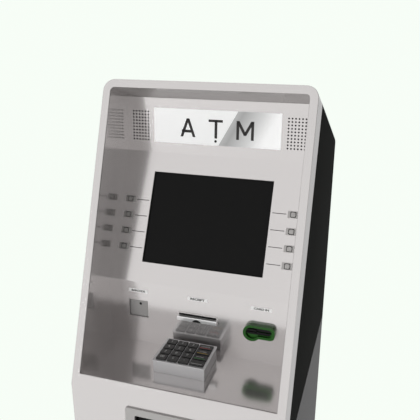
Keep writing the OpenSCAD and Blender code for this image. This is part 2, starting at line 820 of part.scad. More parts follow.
module paper_roll() {
    roll_w = 80;
    color([0.96, 0.96, 0.95]) translate([-roll_w / 2, roll_y, roll_z]) rotate([0, 90, 0]) difference() {
        cylinder(h = roll_w, r = roll_r);
        translate([0, 0, -1]) cylinder(h = roll_w + 2, r = spindle_r + pin_clear);
    }
}

// Two-lobed outline of the green bezel.
module card_outline(inset) {
    translate([137, -84.6]) circle(21 - inset);
    translate([162, -81]) round_rect(60 - 2 * inset, 33.4 - 2 * inset, 11.5 - inset);
}

module card_bezel() {
    front = 12;
    sink = 7;
    border = 5;
    color([0.10, 0.45, 0.12]) on_reader() difference() {
        union() {
            linear_extrude(front) card_outline(0);
            translate([card_slot_x, card_slot_y, 0]) block(card_neck[0], card_neck[1], -wall - 4, 1);
        }
        // sunk middle round the slot
        translate([0, 0, sink]) linear_extrude(front) card_outline(border);
        translate([card_slot_x, card_slot_y, 0]) block(card_mouth[0], card_mouth[1], -20, 20);
    }
}

module card_reader() {
    case = [82, 60];
    color([0.20, 0.21, 0.22]) on_reader() translate([card_slot_x, card_slot_y, 0]) difference() {
        block(case[0], case[1], -118, -wall - 4);
        block(card_mouth[0] + 0.5, card_mouth[1], -100, 0);
    }
}

// ---------------------------------------------------------------- keypad shelf

pad_left = -67;
pad_pitch_x = 27;
pad_pitch_y = 22;
wide_key_w = 34;
pad_first_row = 22;              // from the reader panel to the far edge of the first row
pad_margin = 5;
pad_floor = -5;                  // floor of a key's well
pad_right = pad_left + 3 * pad_pitch_x + wide_key_w;
pad_x = (pad_left + pad_right) / 2;
pad_rows_d = 3 * pad_pitch_y + pad_key_d;
pad_y = -pad_first_row - pad_rows_d / 2;
pad_plate = [pad_right - pad_left + 2 * pad_margin + 4, pad_rows_d + 2 * pad_margin + 4];
pad_box = [pad_right - pad_left + 2 * pad_margin, pad_rows_d + 2 * pad_margin];

function pad_w(column) = column == 3 ? wide_key_w : pad_key_w;
function pad_centre(column) = pad_left + column * pad_pitch_x + pad_w(column) / 2;

// Local frame of the keypad's plate, which stands above the shelf.
module on_pad() { on_shelf() translate([0, 0, pad_rise]) children(); }
module at_pad_key(row, column) {
    on_pad() translate([pad_centre(column), -pad_first_row - pad_key_d / 2 - row * pad_pitch_y, 0]) children();
}

module keypad_housing() {
    key_gap = 0.35;
    pad_back = -pad_rise - 32;
    color([0.70, 0.70, 0.71]) difference() {
        on_pad() translate([pad_x, pad_y, 0]) {
            round_block(pad_plate[0], pad_plate[1], 3, 0, 2);
            block(pad_box[0], pad_box[1], pad_back, 1);
        }
        for (row = [0:3], column = [0:3]) at_pad_key(row, column)
            block(pad_w(column) + 2 * key_gap, pad_key_d + 2 * key_gap, pad_floor, 3);
    }
}

module pad_key(row, column) {
    color([0.06, 0.06, 0.06]) at_pad_key(row, column)
        round_block(pad_w(column), pad_key_d, 1.5, pad_floor + pad_travel + gap, 5.5);
}

// ---------------------------------------------------------------- cash outlet and lock

outlet_y = -62;
outlet_neck = [186, 32];         // part of the bezel that passes through the apron
lock_x = 215;
lock_r = 11;
rail_y = 12;                     // middle of the shutter's path above the outlet

module cash_bezel() {
    plate = [228, 64];
    mouth = [180, 26];
    rail = [14, 76];
    groove = [197, 80];
    color([0.62, 0.63, 0.64]) on_apron() translate([0, outlet_y, 0]) difference() {
        union() {
            round_block(plate[0], plate[1], 8, 0, 4);
            block(outlet_neck[0], outlet_neck[1], -wall - 0.2, 1);
            // rails that guide the shutter behind the apron
            for (side = [-1, 1]) translate([side * 101, rail_y, 0]) block(rail[0], rail[1], -14, -wall - 0.1);
        }
        block(mouth[0], mouth[1], -20, 20);
        translate([0, rail_y, 0]) block(groove[0], groove[1], -12, -6);
    }
}

module cash_shutter() {
    blade = [196, 34];
    grip = [60, 4];
    color([0.10, 0.10, 0.11]) on_apron() translate([0, outlet_y, 0]) difference() {
        block(blade[0], blade[1], -11, -8);
        translate([0, -9, 0]) block(grip[0], grip[1], -9.5, 0);
    }
}

module fascia_lock() {
    ring_r = 13;
    cam = [12, 44];
    keyway = [2.4, 9];
    color([0.72, 0.72, 0.74]) on_apron() translate([lock_x, outlet_y, 0]) difference() {
        union() {
            disc(ring_r, 0, 3);
            disc(lock_r, -lock_length, 1);
            translate([0, 9, 0]) block(cam[0], cam[1], -lock_length - 4, -lock_length);
        }
        block(keyway[0], keyway[1], 1, 4);
    }
}

plinth();
safe_body();
safe_hinges();
cabinet_shell();
cooling_fan();
fan_rotor();
power_inlet();
power_supply();
computer_box();
cash_dispenser();
cash_cassettes();
surround_frame();
recess_panel();
sign_lens();
sign_light_box();
pinhole_camera();
speakers();
display_glass();
display_module();
key_housings();
label_plates();
scanner_window();
receipt_bezel();
receipt_printer();
paper_roll();
card_bezel();
card_reader();
keypad_housing();
cash_bezel();
cash_shutter();
fascia_lock();
fascia_hinges();
safe_door();
safe_handle();
locking_bolts();
combination_dial();
function_key(-1, 0);  // function_key_l1
function_key(-1, 1);  // function_key_l2
function_key(-1, 2);  // function_key_l3
function_key(-1, 3);  // function_key_l4
function_key(1, 0);  // function_key_r1
function_key(1, 1);  // function_key_r2
function_key(1, 2);  // function_key_r3
function_key(1, 3);  // function_key_r4
pad_key(0, 0);  // pad_key_11
pad_key(0, 1);  // pad_key_12
pad_key(0, 2);  // pad_key_13
pad_key(0, 3);  // pad_key_14
pad_key(1, 0);  // pad_key_21
pad_key(1, 1);  // pad_key_22
pad_key(1, 2);  // pad_key_23
pad_key(1, 3);  // pad_key_24
pad_key(2, 0);  // pad_key_31
pad_key(2, 1);  // pad_key_32
pad_key(2, 2);  // pad_key_33
pad_key(2, 3);  // pad_key_34
pad_key(3, 0);  // pad_key_41
pad_key(3, 1);  // pad_key_42
pad_key(3, 2);  // pad_key_43
pad_key(3, 3);  // pad_key_44
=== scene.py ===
"""Looks of a free-standing cash machine, laid out as a Blender add-on and run as a script."""

import math

import bmesh
import bpy
from bpy.props import FloatProperty, FloatVectorProperty, PointerProperty
from mathutils import Matrix, Vector


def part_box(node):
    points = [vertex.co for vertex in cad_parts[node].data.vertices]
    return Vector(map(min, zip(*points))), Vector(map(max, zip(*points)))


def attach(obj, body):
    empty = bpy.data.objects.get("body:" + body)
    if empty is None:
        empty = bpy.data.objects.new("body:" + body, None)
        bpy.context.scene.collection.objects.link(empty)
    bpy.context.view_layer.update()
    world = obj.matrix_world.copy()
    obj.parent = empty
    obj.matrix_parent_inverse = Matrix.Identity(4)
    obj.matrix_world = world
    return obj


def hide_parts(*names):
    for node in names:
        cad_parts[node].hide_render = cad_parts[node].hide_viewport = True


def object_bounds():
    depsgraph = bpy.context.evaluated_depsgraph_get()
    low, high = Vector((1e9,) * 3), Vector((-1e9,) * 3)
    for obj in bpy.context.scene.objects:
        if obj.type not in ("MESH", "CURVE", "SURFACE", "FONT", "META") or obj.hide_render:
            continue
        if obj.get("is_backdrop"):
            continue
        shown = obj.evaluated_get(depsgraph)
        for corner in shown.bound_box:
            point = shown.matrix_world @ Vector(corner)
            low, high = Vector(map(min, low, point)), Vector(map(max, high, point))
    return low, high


bl_info = {
    "name": "Cash machine",
    "version": (1, 0, 0),
    "blender": (4, 5, 0),
    "location": "3D View > Sidebar > Cash machine",
    "description": "Models the visible pieces of a lobby cash machine around its packed CAD part",
    "category": "Object",
}

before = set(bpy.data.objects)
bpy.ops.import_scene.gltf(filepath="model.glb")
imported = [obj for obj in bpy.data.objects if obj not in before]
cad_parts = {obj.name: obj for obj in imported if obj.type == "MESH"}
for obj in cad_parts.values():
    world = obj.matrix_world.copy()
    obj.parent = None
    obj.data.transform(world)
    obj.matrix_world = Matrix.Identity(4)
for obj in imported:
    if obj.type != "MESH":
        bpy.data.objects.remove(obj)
MM = 0.001
SIDES = (-1, 1)
TINY = 1e-5  # how far apart two places may be, in metres, and still count as one

# Places on the machine's faces, in millimetres; x from the middle, y down from the face's top edge.
SIGN_Y = -67
SIGN_CAMERA_Y = -99
DISPLAY_Y = -164
KEY_X = 206
KEY_Y = -124.7
KEY_PITCH = 40
GUIDE_X = 173
LABELS = (("BARCODE", -155), ("RECEIPT", 0), ("CARD IN", 156.5))
LABEL_Y = -24.5
SCANNER_PLACE = (-156, -73.5)
CARD_PLACE = (156, -81)
HINGE_RUNS = (190, 690)  # distance of each hinge down the surround's face
KNUCKLE = 34  # length of a hinge knuckle
HINGE_OUT = 2  # how far the leaning hinge line stands outside the surround
HINGE_BEHIND = 0.75  # how far it stands behind the surround's back edge
PARTING = 1.5  # gap between the light surround and the black cabinet
OUTLET_NECK = (187, 33)  # opening of the apron for the cash outlet
MIRRORED = (1.04, 1.035, 1.03, 1)  # the pale room as mirrored surfaces see it

# The camera, from the middle of the surround's top edge, in metres, degrees and millimetres of lens.
EYE_RIGHT = 0.3866
EYE_AHEAD = 1.1890
EYE_ABOVE = 0.1256
EYE_YAW = 17.6
EYE_PITCH = 18.82
EYE_LENS = 47.3

LEGENDS = (
    ("1", "2", "3", "CANCEL"),
    ("4", "5", "6", "CLEAR"),
    ("7", "8", "9", "ENTER"),
    ("00", "0", ".", ""),
)
WIDE_COLOURS = ((0.45, 0.02, 0.02), (0.55, 0.35, 0.02), (0.02, 0.25, 0.04), (0.55, 0.55, 0.55))


# ---------------------------------------------------------------- properties


def length(name, description, millimetres):
    """A length property given in millimetres and held in metres."""
    return FloatProperty(name=name, description=description, default=millimetres * MM, unit="LENGTH", precision=4)


def angle(name, description, degrees):
    """An angle property given in degrees and held in radians."""
    return FloatProperty(name=name, description=description, default=math.radians(degrees), unit="ROTATION")


def colour(name, description, value):
    """A linear colour property."""
    return FloatVectorProperty(name=name, description=description, default=value, subtype="COLOR", min=0, max=1)


class MachineSizes(bpy.types.PropertyGroup):
    """Sizes of the surround, the recess and what stands in it."""

    lean: angle("Surround lean", "Lean of the surround back from vertical", 20.4)
    face_run: length("Face run", "How far the top edge stands behind the foot of the surround", 250)
    shell_depth: length("Shell depth", "Depth of the light shell square to its face", 82)
    rim: length("Rim width", "Width of the rim at the sides and top", 19)
    outer_radius: length("Outer radius", "Radius of the two top corners", 28)
    wall: length("Wall", "Thickness of the moulded walls", 3.4)
    top_depth: length("Top depth", "Depth of the recess at its ceiling", 92)
    sign_height: length("Sign panel height", "Height of the sign panel", 135.3)
    sign_lean: angle("Sign lean", "Lean of the sign panel", 2.7)
    screen_height: length("Screen panel height", "Height of the leaning screen panel", 328.2)
    screen_lean: angle("Screen lean", "Lean of the screen panel", 25.7)
    reader_height: length("Reader panel height", "Height of the upright reader panel", 166.6)
    lens_width: length("Sign lens width", "Width of the lit sign", 320)
    lens_height: length("Sign lens height", "Height of the lit sign", 85)
    display_width: length("Display width", "Width of the display opening", 304)
    display_height: length("Display height", "Height of the display opening", 228)
    letter_height: length("Letter height", "Height of the sign's letters", 45)
    sheet: length("Sheet", "Thickness of the cabinet's sheet metal", 2.5)
    roof_drop: length("Roof drop", "How far the roof drops from its front edge to the rear", 160)


class MachineLooks(bpy.types.PropertyGroup):
    """Colours of the machine."""

    paint: colour("Surround paint", "Light warm grey of the surround and recess", (0.685, 0.662, 0.658))
    black: colour("Cabinet paint", "Black of the cabinet", (0.040, 0.043, 0.039))
    silver: colour("Silver trim", "Lacquer of the key housings", (0.50, 0.485, 0.475))
    green: colour("Card bezel", "Green of the card bezel", (0.016, 0.105, 0.010))
    ink: colour("Ink", "Dark grey of the lettering", (0.03, 0.028, 0.028))
    floor: colour("Floor", "Pale floor and backdrop", (0.93, 0.985, 0.925))


def sizes():
    """The size properties of the scene."""
    return bpy.context.scene.cash_machine_sizes


def looks():
    """The look properties of the scene."""
    return bpy.context.scene.cash_machine_looks


# ---------------------------------------------------------------- places


def normal_of(lean):
    """Outward normal in (y, z) of a panel that leans back by this angle."""
    return Vector((-math.cos(lean), math.sin(lean)))


def up_of(lean):
    """Upward direction in (y, z) of a panel that leans back by this angle."""
    return Vector((math.sin(lean), math.cos(lean)))


def profile():
    """Named (y, z) points of the surround and the recess, from the CAD surround's box and the sizes."""
    s = sizes()
    low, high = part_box("surround_frame")
    top = Vector((low.y + s.face_run, high.z))
    ceiling = top - s.rim * up_of(s.lean)
    sign_top = ceiling - s.top_depth * normal_of(s.lean)
    sign_foot = sign_top - s.sign_height * up_of(s.sign_lean)
    screen_foot = sign_foot - s.screen_height * up_of(s.screen_lean)
    reader_foot = screen_foot - s.reader_height * up_of(0)
    shelf_front = Vector((top.x - (top.y - reader_foot.y) * math.tan(s.lean), reader_foot.y))
    return {
        "top": top,
        "knee": Vector((low.y, high.z - s.face_run / math.tan(s.lean))),
        "ceiling": ceiling,
        "sign_top": sign_top,
        "sign_foot": sign_foot,
        "screen_foot": screen_foot,
        "reader_foot": reader_foot,
        "shelf_front": shelf_front,
    }


def face_matrix(point, lean):
    """Local frame of a leaning face: x to the right, y up the face, z out of it."""
    return Matrix.Translation((0, point.x, point.y)) @ Matrix.Rotation(math.pi / 2 - lean, 4, "X")


def face(name):
    """Local frame of one of the machine's faces, with its origin at the face's top edge."""
    s = sizes()
    p = profile()
    return {
        "surround": lambda: face_matrix(p["top"], s.lean),
        "sign": lambda: face_matrix(p["sign_top"], s.sign_lean),
        "screen": lambda: face_matrix(p["sign_foot"], s.screen_lean),
        "reader": lambda: face_matrix(p["screen_foot"], 0),
        "shelf": lambda: face_matrix(p["reader_foot"], math.pi / 2),
        "pad": lambda: face_matrix(Vector((p["reader_foot"].x, pad_top())), math.pi / 2),
        "apron": lambda: face_matrix(p["knee"], 0),
    }[name]()


def pad_top():
    """Height of the keypad plate's underside, which stands above the shelf."""
    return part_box("keypad_housing")[1].z - 2 * MM


def middle_of(node):
    """Middle of a CAD node's box, as x, y and z in millimetres."""
    return [(a + b) / 2 / MM for a, b in zip(*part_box(node))]


def half_width():
    """Half the width of the surround."""
    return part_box("surround_frame")[1].x


# ---------------------------------------------------------------- modelling helpers


def activate(piece):
    """Makes a piece the only selected and the active object, in object mode."""
    if bpy.context.object and bpy.context.object.mode != "OBJECT":
        bpy.ops.object.mode_set(mode="OBJECT")
    bpy.ops.object.select_all(action="DESELECT")
    piece.select_set(True)
    bpy.context.view_layer.objects.active = piece


def deselect():
    """Leaves nothing selected, so that an add operator starts clean."""
    if bpy.context.object and bpy.context.object.mode != "OBJECT":
        bpy.ops.object.mode_set(mode="OBJECT")
    bpy.ops.object.select_all(action="DESELECT")


def named(name):
    """Names the object that an add operator has just made."""
    piece = bpy.context.object
    piece.name = name
    piece.data.name = name
    return piece


def settle(piece):
    """Moves a piece's place, turn and scale into its mesh."""
    activate(piece)
    bpy.ops.object.transform_apply(location=True, rotation=True, scale=True)
    return piece


def block(name, size, centre):
    """A box of this size, in millimetres."""
    deselect()
    bpy.ops.mesh.primitive_cube_add(size=1, location=Vector(centre) * MM, scale=Vector(size) * MM)
    return settle(named(name))


def cylinder(name, radius, z0, z1, centre=(0, 0), sides=40):
    """A cylinder along z, in millimetres."""
    deselect()
    place = Vector((centre[0], centre[1], (z0 + z1) / 2)) * MM
    bpy.ops.mesh.primitive_cylinder_add(vertices=sides, radius=radius * MM, depth=(z1 - z0) * MM, location=place)
    return settle(named(name))


def pick(piece, kind, test):
    """Enters edit mode with just the edges or faces that pass the test selected."""
    activate(piece)
    bpy.ops.object.mode_set(mode="EDIT")
    bpy.ops.mesh.select_mode(type=kind)
    bpy.ops.mesh.select_all(action="DESELECT")
    shape = bmesh.from_edit_mesh(piece.data)
    for item in shape.faces if kind == "FACE" else shape.edges:
        if test(item):
            item.select_set(True)
    bmesh.update_edit_mesh(piece.data)


def leave_edit():
    """Goes back to object mode."""
    bpy.ops.object.mode_set(mode="OBJECT")


def bevel_edges(piece, test, radius, segments=4):
    """Rounds the edges that pass the test; the radius is in millimetres."""
    pick(piece, "EDGE", test)
    bpy.ops.mesh.bevel(offset=radius * MM, segments=segments, affect="EDGES", clamp_overlap=True)
    leave_edit()


def along(edge, axis):
    """True for an edge that runs along this axis."""
    a, b = (v.co for v in edge.verts)
    step = b - a
    return abs(step[axis]) > 0.999 * step.length


def plate(name, width, height, z0, z1, radius, edge=0.4, centre=(0, 0)):
    """A plate with round corners and softened front edges, in millimetres; z points out of the face."""
    piece = block(name, (width, height, z1 - z0), (centre[0], centre[1], (z0 + z1) / 2))
    bevel_edges(piece, lambda e: along(e, 2), radius, 6)
    if edge:
        soften_front(piece, edge)
    return piece


def soften_front(piece, edge, segments=2):
    """Rounds the outline of a piece's front face."""
    front = max(v.co.z for v in piece.data.vertices)
    bevel_edges(piece, lambda e: all(abs(v.co.z - front) < 1e-6 for v in e.verts) and len(e.link_faces) == 2
                and max(f.normal.angle(Vector((0, 0, 1))) for f in e.link_faces) > 0.7, edge, segments)


def modify(piece, kind, **settings):
    """Adds a modifier with these settings and applies it."""
    activate(piece)
    modifier = piece.modifiers.new(kind.title(), kind)
    for key, value in settings.items():
        setattr(modifier, key, value)
    bpy.ops.object.modifier_apply(modifier=modifier.name)


def repeat(piece, count, step):
    """Turns a piece into a row of itself; the step is in millimetres."""
    modify(piece, "ARRAY", count=count, use_relative_offset=False, use_constant_offset=True,
           constant_offset_displace=[part * MM for part in step])


def unite(piece, other):
    """Unites another piece with a piece and removes it."""
    modify(piece, "BOOLEAN", operation="UNION", object=other, solver="EXACT")
    bpy.data.meshes.remove(other.data)


def cut(piece, *cutters):
    """Takes the cutters out of a piece and removes them."""
    for cutter in cutters:
        modify(piece, "BOOLEAN", operation="DIFFERENCE", object=cutter, solver="EXACT")
        bpy.data.meshes.remove(cutter.data)


def join(name, pieces):
    """Joins pieces into one object."""
    deselect()
    for piece in pieces:
        piece.select_set(True)
    bpy.context.view_layer.objects.active = pieces[0]
    bpy.ops.object.join()
    return named(name)


def copy(piece, name, offset):
    """A copy with its own mesh, moved by an offset in millimetres."""
    twin = piece.copy()
    twin.data = piece.data.copy()
    bpy.context.scene.collection.objects.link(twin)
    twin.name = name
    twin.data.name = name
    twin.location = Vector(offset) * MM
    return settle(twin)


def words(name, text, height, centre, z, width=None, depth=0.15, heavy=0.0):
    """Flat raised lettering as a mesh, centred at a place on a face, in millimetres."""
    deselect()
    bpy.ops.object.text_add(location=(0, 0, 0))
    letters = named(name)
    letters.data.body = text
    letters.data.align_x = "CENTER"
    letters.data.extrude = 0.01
    letters.data.offset = heavy
    letters.data.resolution_u = 4
    activate(letters)
    bpy.ops.object.convert(target="MESH")
    letters = bpy.context.object
    corners = [v.co.copy() for v in letters.data.vertices]
    low = Vector([min(c[i] for c in corners) for i in range(3)])
    high = Vector([max(c[i] for c in corners) for i in range(3)])
    size = high - low
    tall = height * MM / size.y
    wide = tall if width is None else width * MM / size.x
    middle = (low + high) / 2
    scale = Matrix.Diagonal((wide, tall, depth * MM / size.z, 1))
    letters.matrix_world = Matrix.Translation(Vector((centre[0], centre[1], z)) * MM) @ scale @ Matrix.Translation(
        -middle
    )
    return settle(letters)


def onto(piece, face_name):
    """Carries a piece modelled on a face's plane to that face."""
    piece.matrix_world = face(face_name) @ piece.matrix_world
    return settle(piece)


def finish(piece, material, body, stands_for=(), smooth=35):
    """Gives a piece its material, shading, body, CAD nodes and slot."""
    piece.data.materials.clear()
    piece.data.materials.append(material)
    activate(piece)
    bpy.ops.object.shade_smooth_by_angle(angle=math.radians(smooth))
    modify(piece, "WEIGHTED_NORMAL", mode="FACE_AREA", weight=100, keep_sharp=True)
    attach(piece, body)
    if stands_for:
        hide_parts(*stands_for)
    return piece


# ---------------------------------------------------------------- materials


def set_inputs(node, values):
    """Sets a node's inputs; an underscore in a key stands for a space in the input's name."""
    for key, value in values.items():
        node.inputs[key.replace("_", " ")].default_value = value


def add_node(tree, kind, **values):
    """A new shader node with these inputs set."""
    node = tree.nodes.new("ShaderNode" + kind)
    set_inputs(node, values)
    return node


def surface(name, base, rough, metal=0.0, grain=400.0, bump=0.05, tint=0.04, streak=(1, 1, 1), coat=0.0,
            **plain):
    """A surface with fine grain, uneven gloss and a slight change of tone, from Object coordinates."""
    name = "look_" + name
    found = bpy.data.materials.get(name)
    if found:
        return found
    material = bpy.data.materials.new(name)
    material.use_nodes = True
    tree = material.node_tree
    link = tree.links.new
    shader = tree.nodes["Principled BSDF"]
    place = add_node(tree, "TexCoord")
    mapping = add_node(tree, "Mapping", Scale=streak)
    link(place.outputs["Object"], mapping.inputs["Vector"])
    fine = add_node(tree, "TexNoise", Scale=grain, Detail=3)
    link(mapping.outputs["Vector"], fine.inputs["Vector"])
    broad = add_node(tree, "TexNoise", Scale=6, Detail=2)
    link(place.outputs["Object"], broad.inputs["Vector"])
    darker = (*[c * (1 - tint) for c in base], 1)
    lighter = (*[min(1, c * (1 + tint)) for c in base], 1)
    tone = add_node(tree, "MixRGB", Color1=darker, Color2=lighter)
    link(broad.outputs["Fac"], tone.inputs["Fac"])
    link(tone.outputs["Color"], shader.inputs["Base Color"])
    gloss = add_node(tree, "MapRange", To_Min=rough * 0.9, To_Max=min(1, rough * 1.1))
    link(fine.outputs["Fac"], gloss.inputs["Value"])
    link(gloss.outputs["Result"], shader.inputs["Roughness"])
    relief = add_node(tree, "Bump", Strength=bump, Distance=0.0004)
    link(fine.outputs["Fac"], relief.inputs["Height"])
    link(relief.outputs["Normal"], shader.inputs["Normal"])
    set_inputs(shader, {"Metallic": metal, "Coat Weight": coat, "Coat Roughness": 0.04, **plain})
    return material


def paint():
    """Light warm-grey metallic lacquer that softly mirrors its surroundings."""
    return surface("light_paint", looks().paint, 0.15, metal=0.75, grain=900, bump=0.01, tint=0.012,
                   Specular_IOR_Level=0.1, Specular_Tint=(0.5, 0.5, 0.5, 1))


def black_paint():
    """Black powder coat."""
    return surface("black_paint", looks().black, 0.42, metal=0.5, grain=1400, bump=0.12, tint=0.15,
                   Specular_IOR_Level=0.0, Specular_Tint=(0.06, 0.06, 0.06, 1))


def safe_paint():
    """Satin dark coat of the safe."""
    return surface("safe_paint", (0.026, 0.026, 0.028), 0.5, grain=900, bump=0.2, tint=0.1,
                   Specular_IOR_Level=0.15)


def silver():
    """Silver lacquer."""
    return surface("silver_lacquer", looks().silver, 0.38, metal=0.25, grain=1500, bump=0.03)


def ink():
    """Dark printed ink."""
    return surface("ink", looks().ink, 0.6, grain=2000, bump=0.02, Specular_IOR_Level=0.1)


def black_plastic():
    """Fine-grained black plastic."""
    return surface("black_plastic", (0.012, 0.012, 0.012), 0.4, grain=2500, bump=0.08, Specular_IOR_Level=0.12)


def white_plastic():
    """White label stock."""
    return surface("white_plastic", (0.95, 0.945, 0.94), 0.3, metal=0.45, grain=1200, bump=0.02, tint=0.01)


def polished():
    """Polished plated metal."""
    return surface("polished_metal", (0.97, 0.97, 0.97), 0.1, metal=0.6, grain=300, bump=0.01, tint=0.01)


def brushed():
    """Brushed steel with streaks along x."""
    return surface("brushed_steel", (0.55, 0.55, 0.55), 0.34, metal=1.0, grain=900, bump=0.15, streak=(0.04, 1, 1))


def zinc():
    """Zinc-plated sheet."""
    return surface("zinc_sheet", (0.50, 0.51, 0.53), 0.4, metal=1.0, grain=120, bump=0.05, tint=0.12)


# ---------------------------------------------------------------- pieces: surround and recess


def build_surround():
    """The leaning light shell with its rounded rim, open at the back."""
    s = sizes()
    p = profile()
    low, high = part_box("surround_frame")
    half = half_width()
    deselect()
    bpy.ops.mesh.primitive_cube_add(size=1)
    shell = named("surround_frame_shell")
    shell.matrix_world = Matrix.Translation((0, low.y + 0.5, low.z + 0.5)) @ Matrix.Diagonal((2 * half, 1, 1, 1))
    settle(shell)
    top = Vector((0, *p["top"]))
    outward = Vector((0, *normal_of(s.lean)))
    upward = Vector((0, *up_of(s.lean)))
    slice_off(shell, top, outward, fill=True)
    slice_off(shell, top, upward, fill=True)
    slice_off(shell, top - s.shell_depth * outward, -outward, fill=False)
    round_crest(shell, top, upward)
    open_face(shell, top, outward, upward)
    modify(shell, "SOLIDIFY", thickness=s.wall, offset=-1, use_even_offset=True)
    cut(shell, block("outlet_cut", (OUTLET_NECK[0], 60, OUTLET_NECK[1]), (0, low.y / MM, outlet_height() / MM)))
    lock_x = middle_of("fascia_lock")[0]
    hole = cylinder("lock_cut", 11.4, -30, 30)
    place = Matrix.Translation((lock_x * MM, low.y, outlet_height()))
    hole.matrix_world = place @ Matrix.Rotation(math.pi / 2, 4, "X")
    cut(shell, settle(hole))
    modify(shell, "BEVEL", width=2.6 * MM, segments=3, limit_method="ANGLE", angle_limit=math.radians(40),
           harden_normals=False)
    # Notches that pass the fixed hinge knuckles when the surround swings.
    for run in HINGE_RUNS:
        notch = cylinder("c", 7.6, 0, 35)
        cut(shell, settle(onto_hinge_line(notch, run + KNUCKLE + 0.5)))
    return finish(shell, paint(), "fascia", ["surround_frame"], 40)


def open_face(shell, top, outward, upward):
    """Opens the leaning face: insets it by the rim, raises its foot to the shelf and deletes it."""
    pick(shell, "FACE", lambda f: f.normal.dot(outward) > 0.9999)
    bpy.ops.mesh.inset(thickness=sizes().rim, depth=0)
    leave_edit()
    foot = opening_foot(shell, outward, top, upward)
    raise_by = (Vector((0, *profile()["shelf_front"])) - top).dot(upward) - foot

    def at_foot(vertex):
        step = vertex.co - top
        return abs(step.dot(upward) - foot) < TINY and abs(step.dot(outward)) < TINY

    pick(shell, "EDGE", lambda e: all(at_foot(v) for v in e.verts))
    bpy.ops.transform.translate(value=upward * raise_by)
    leave_edit()
    pick(shell, "FACE", lambda f: f.normal.dot(outward) > 0.9999 and f.calc_area() > 0.1)
    bpy.ops.mesh.delete(type="FACE")
    leave_edit()


def round_crest(shell, crest, upward):
    """Rounds the two top side edges, which start at the crest and lie square to the upward direction."""
    bevel_edges(
        shell,
        lambda e: side_edge(e, half_width()) and all(abs((v.co - crest).dot(upward)) < TINY for v in e.verts),
        sizes().outer_radius / MM,
        12,
    )


def onto_hinge_line(piece, run):
    """Carries a piece modelled along z to the leaning hinge line, with its foot at this run."""
    s = sizes()
    place = Vector((-half_width() / MM - HINGE_OUT, -run, -s.shell_depth / MM - HINGE_BEHIND)) * MM
    turn = Matrix.Rotation(-math.pi / 2, 4, "X")
    piece.matrix_world = face("surround") @ Matrix.Translation(place) @ turn
    return piece


def build_knuckles():
    """The surround's own two hinge knuckles with their leaves, on the leaning hinge line."""
    for number, run in enumerate(HINGE_RUNS, start=1):
        barrel = cylinder(f"fascia_knuckle_{number}", 6, 0, KNUCKLE, sides=32)
        cut(barrel, cylinder("c", 3.05, -1, KNUCKLE + 1, sides=32))
        leaf = block("leaf", (4, 15, KNUCKLE), (4, -12, KNUCKLE / 2))
        whole = join(f"fascia_knuckle_{number}", [barrel, leaf])
        finish(settle(onto_hinge_line(whole, run)), brushed(), "fascia")


def side_edge(edge, half):
    """True for an edge that lies in the left or the right side plane."""
    a, b = (v.co.x for v in edge.verts)
    return abs(a - b) < TINY and abs(abs(a) - half) < TINY


def slice_off(piece, point, direction, fill):
    """Cuts a piece with a plane and keeps what lies behind it."""
    activate(piece)
    bpy.ops.object.mode_set(mode="EDIT")
    bpy.ops.mesh.select_all(action="SELECT")
    bpy.ops.mesh.bisect(plane_co=point, plane_no=direction, use_fill=fill, clear_outer=True)
    leave_edit()


def opening_foot(shell, outward, top, upward):
    """Distance up the face of the inset face's lower edge."""
    inner = [f for f in shell.data.polygons if f.normal.dot(outward) > 0.9999]
    largest = max(inner, key=lambda f: f.area)
    return min((shell.data.vertices[i].co - top).dot(upward) for i in largest.vertices)


def outlet_height():
    """Height of the middle of the cash outlet."""
    low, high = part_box("cash_shutter")
    return (low.z + high.z) / 2


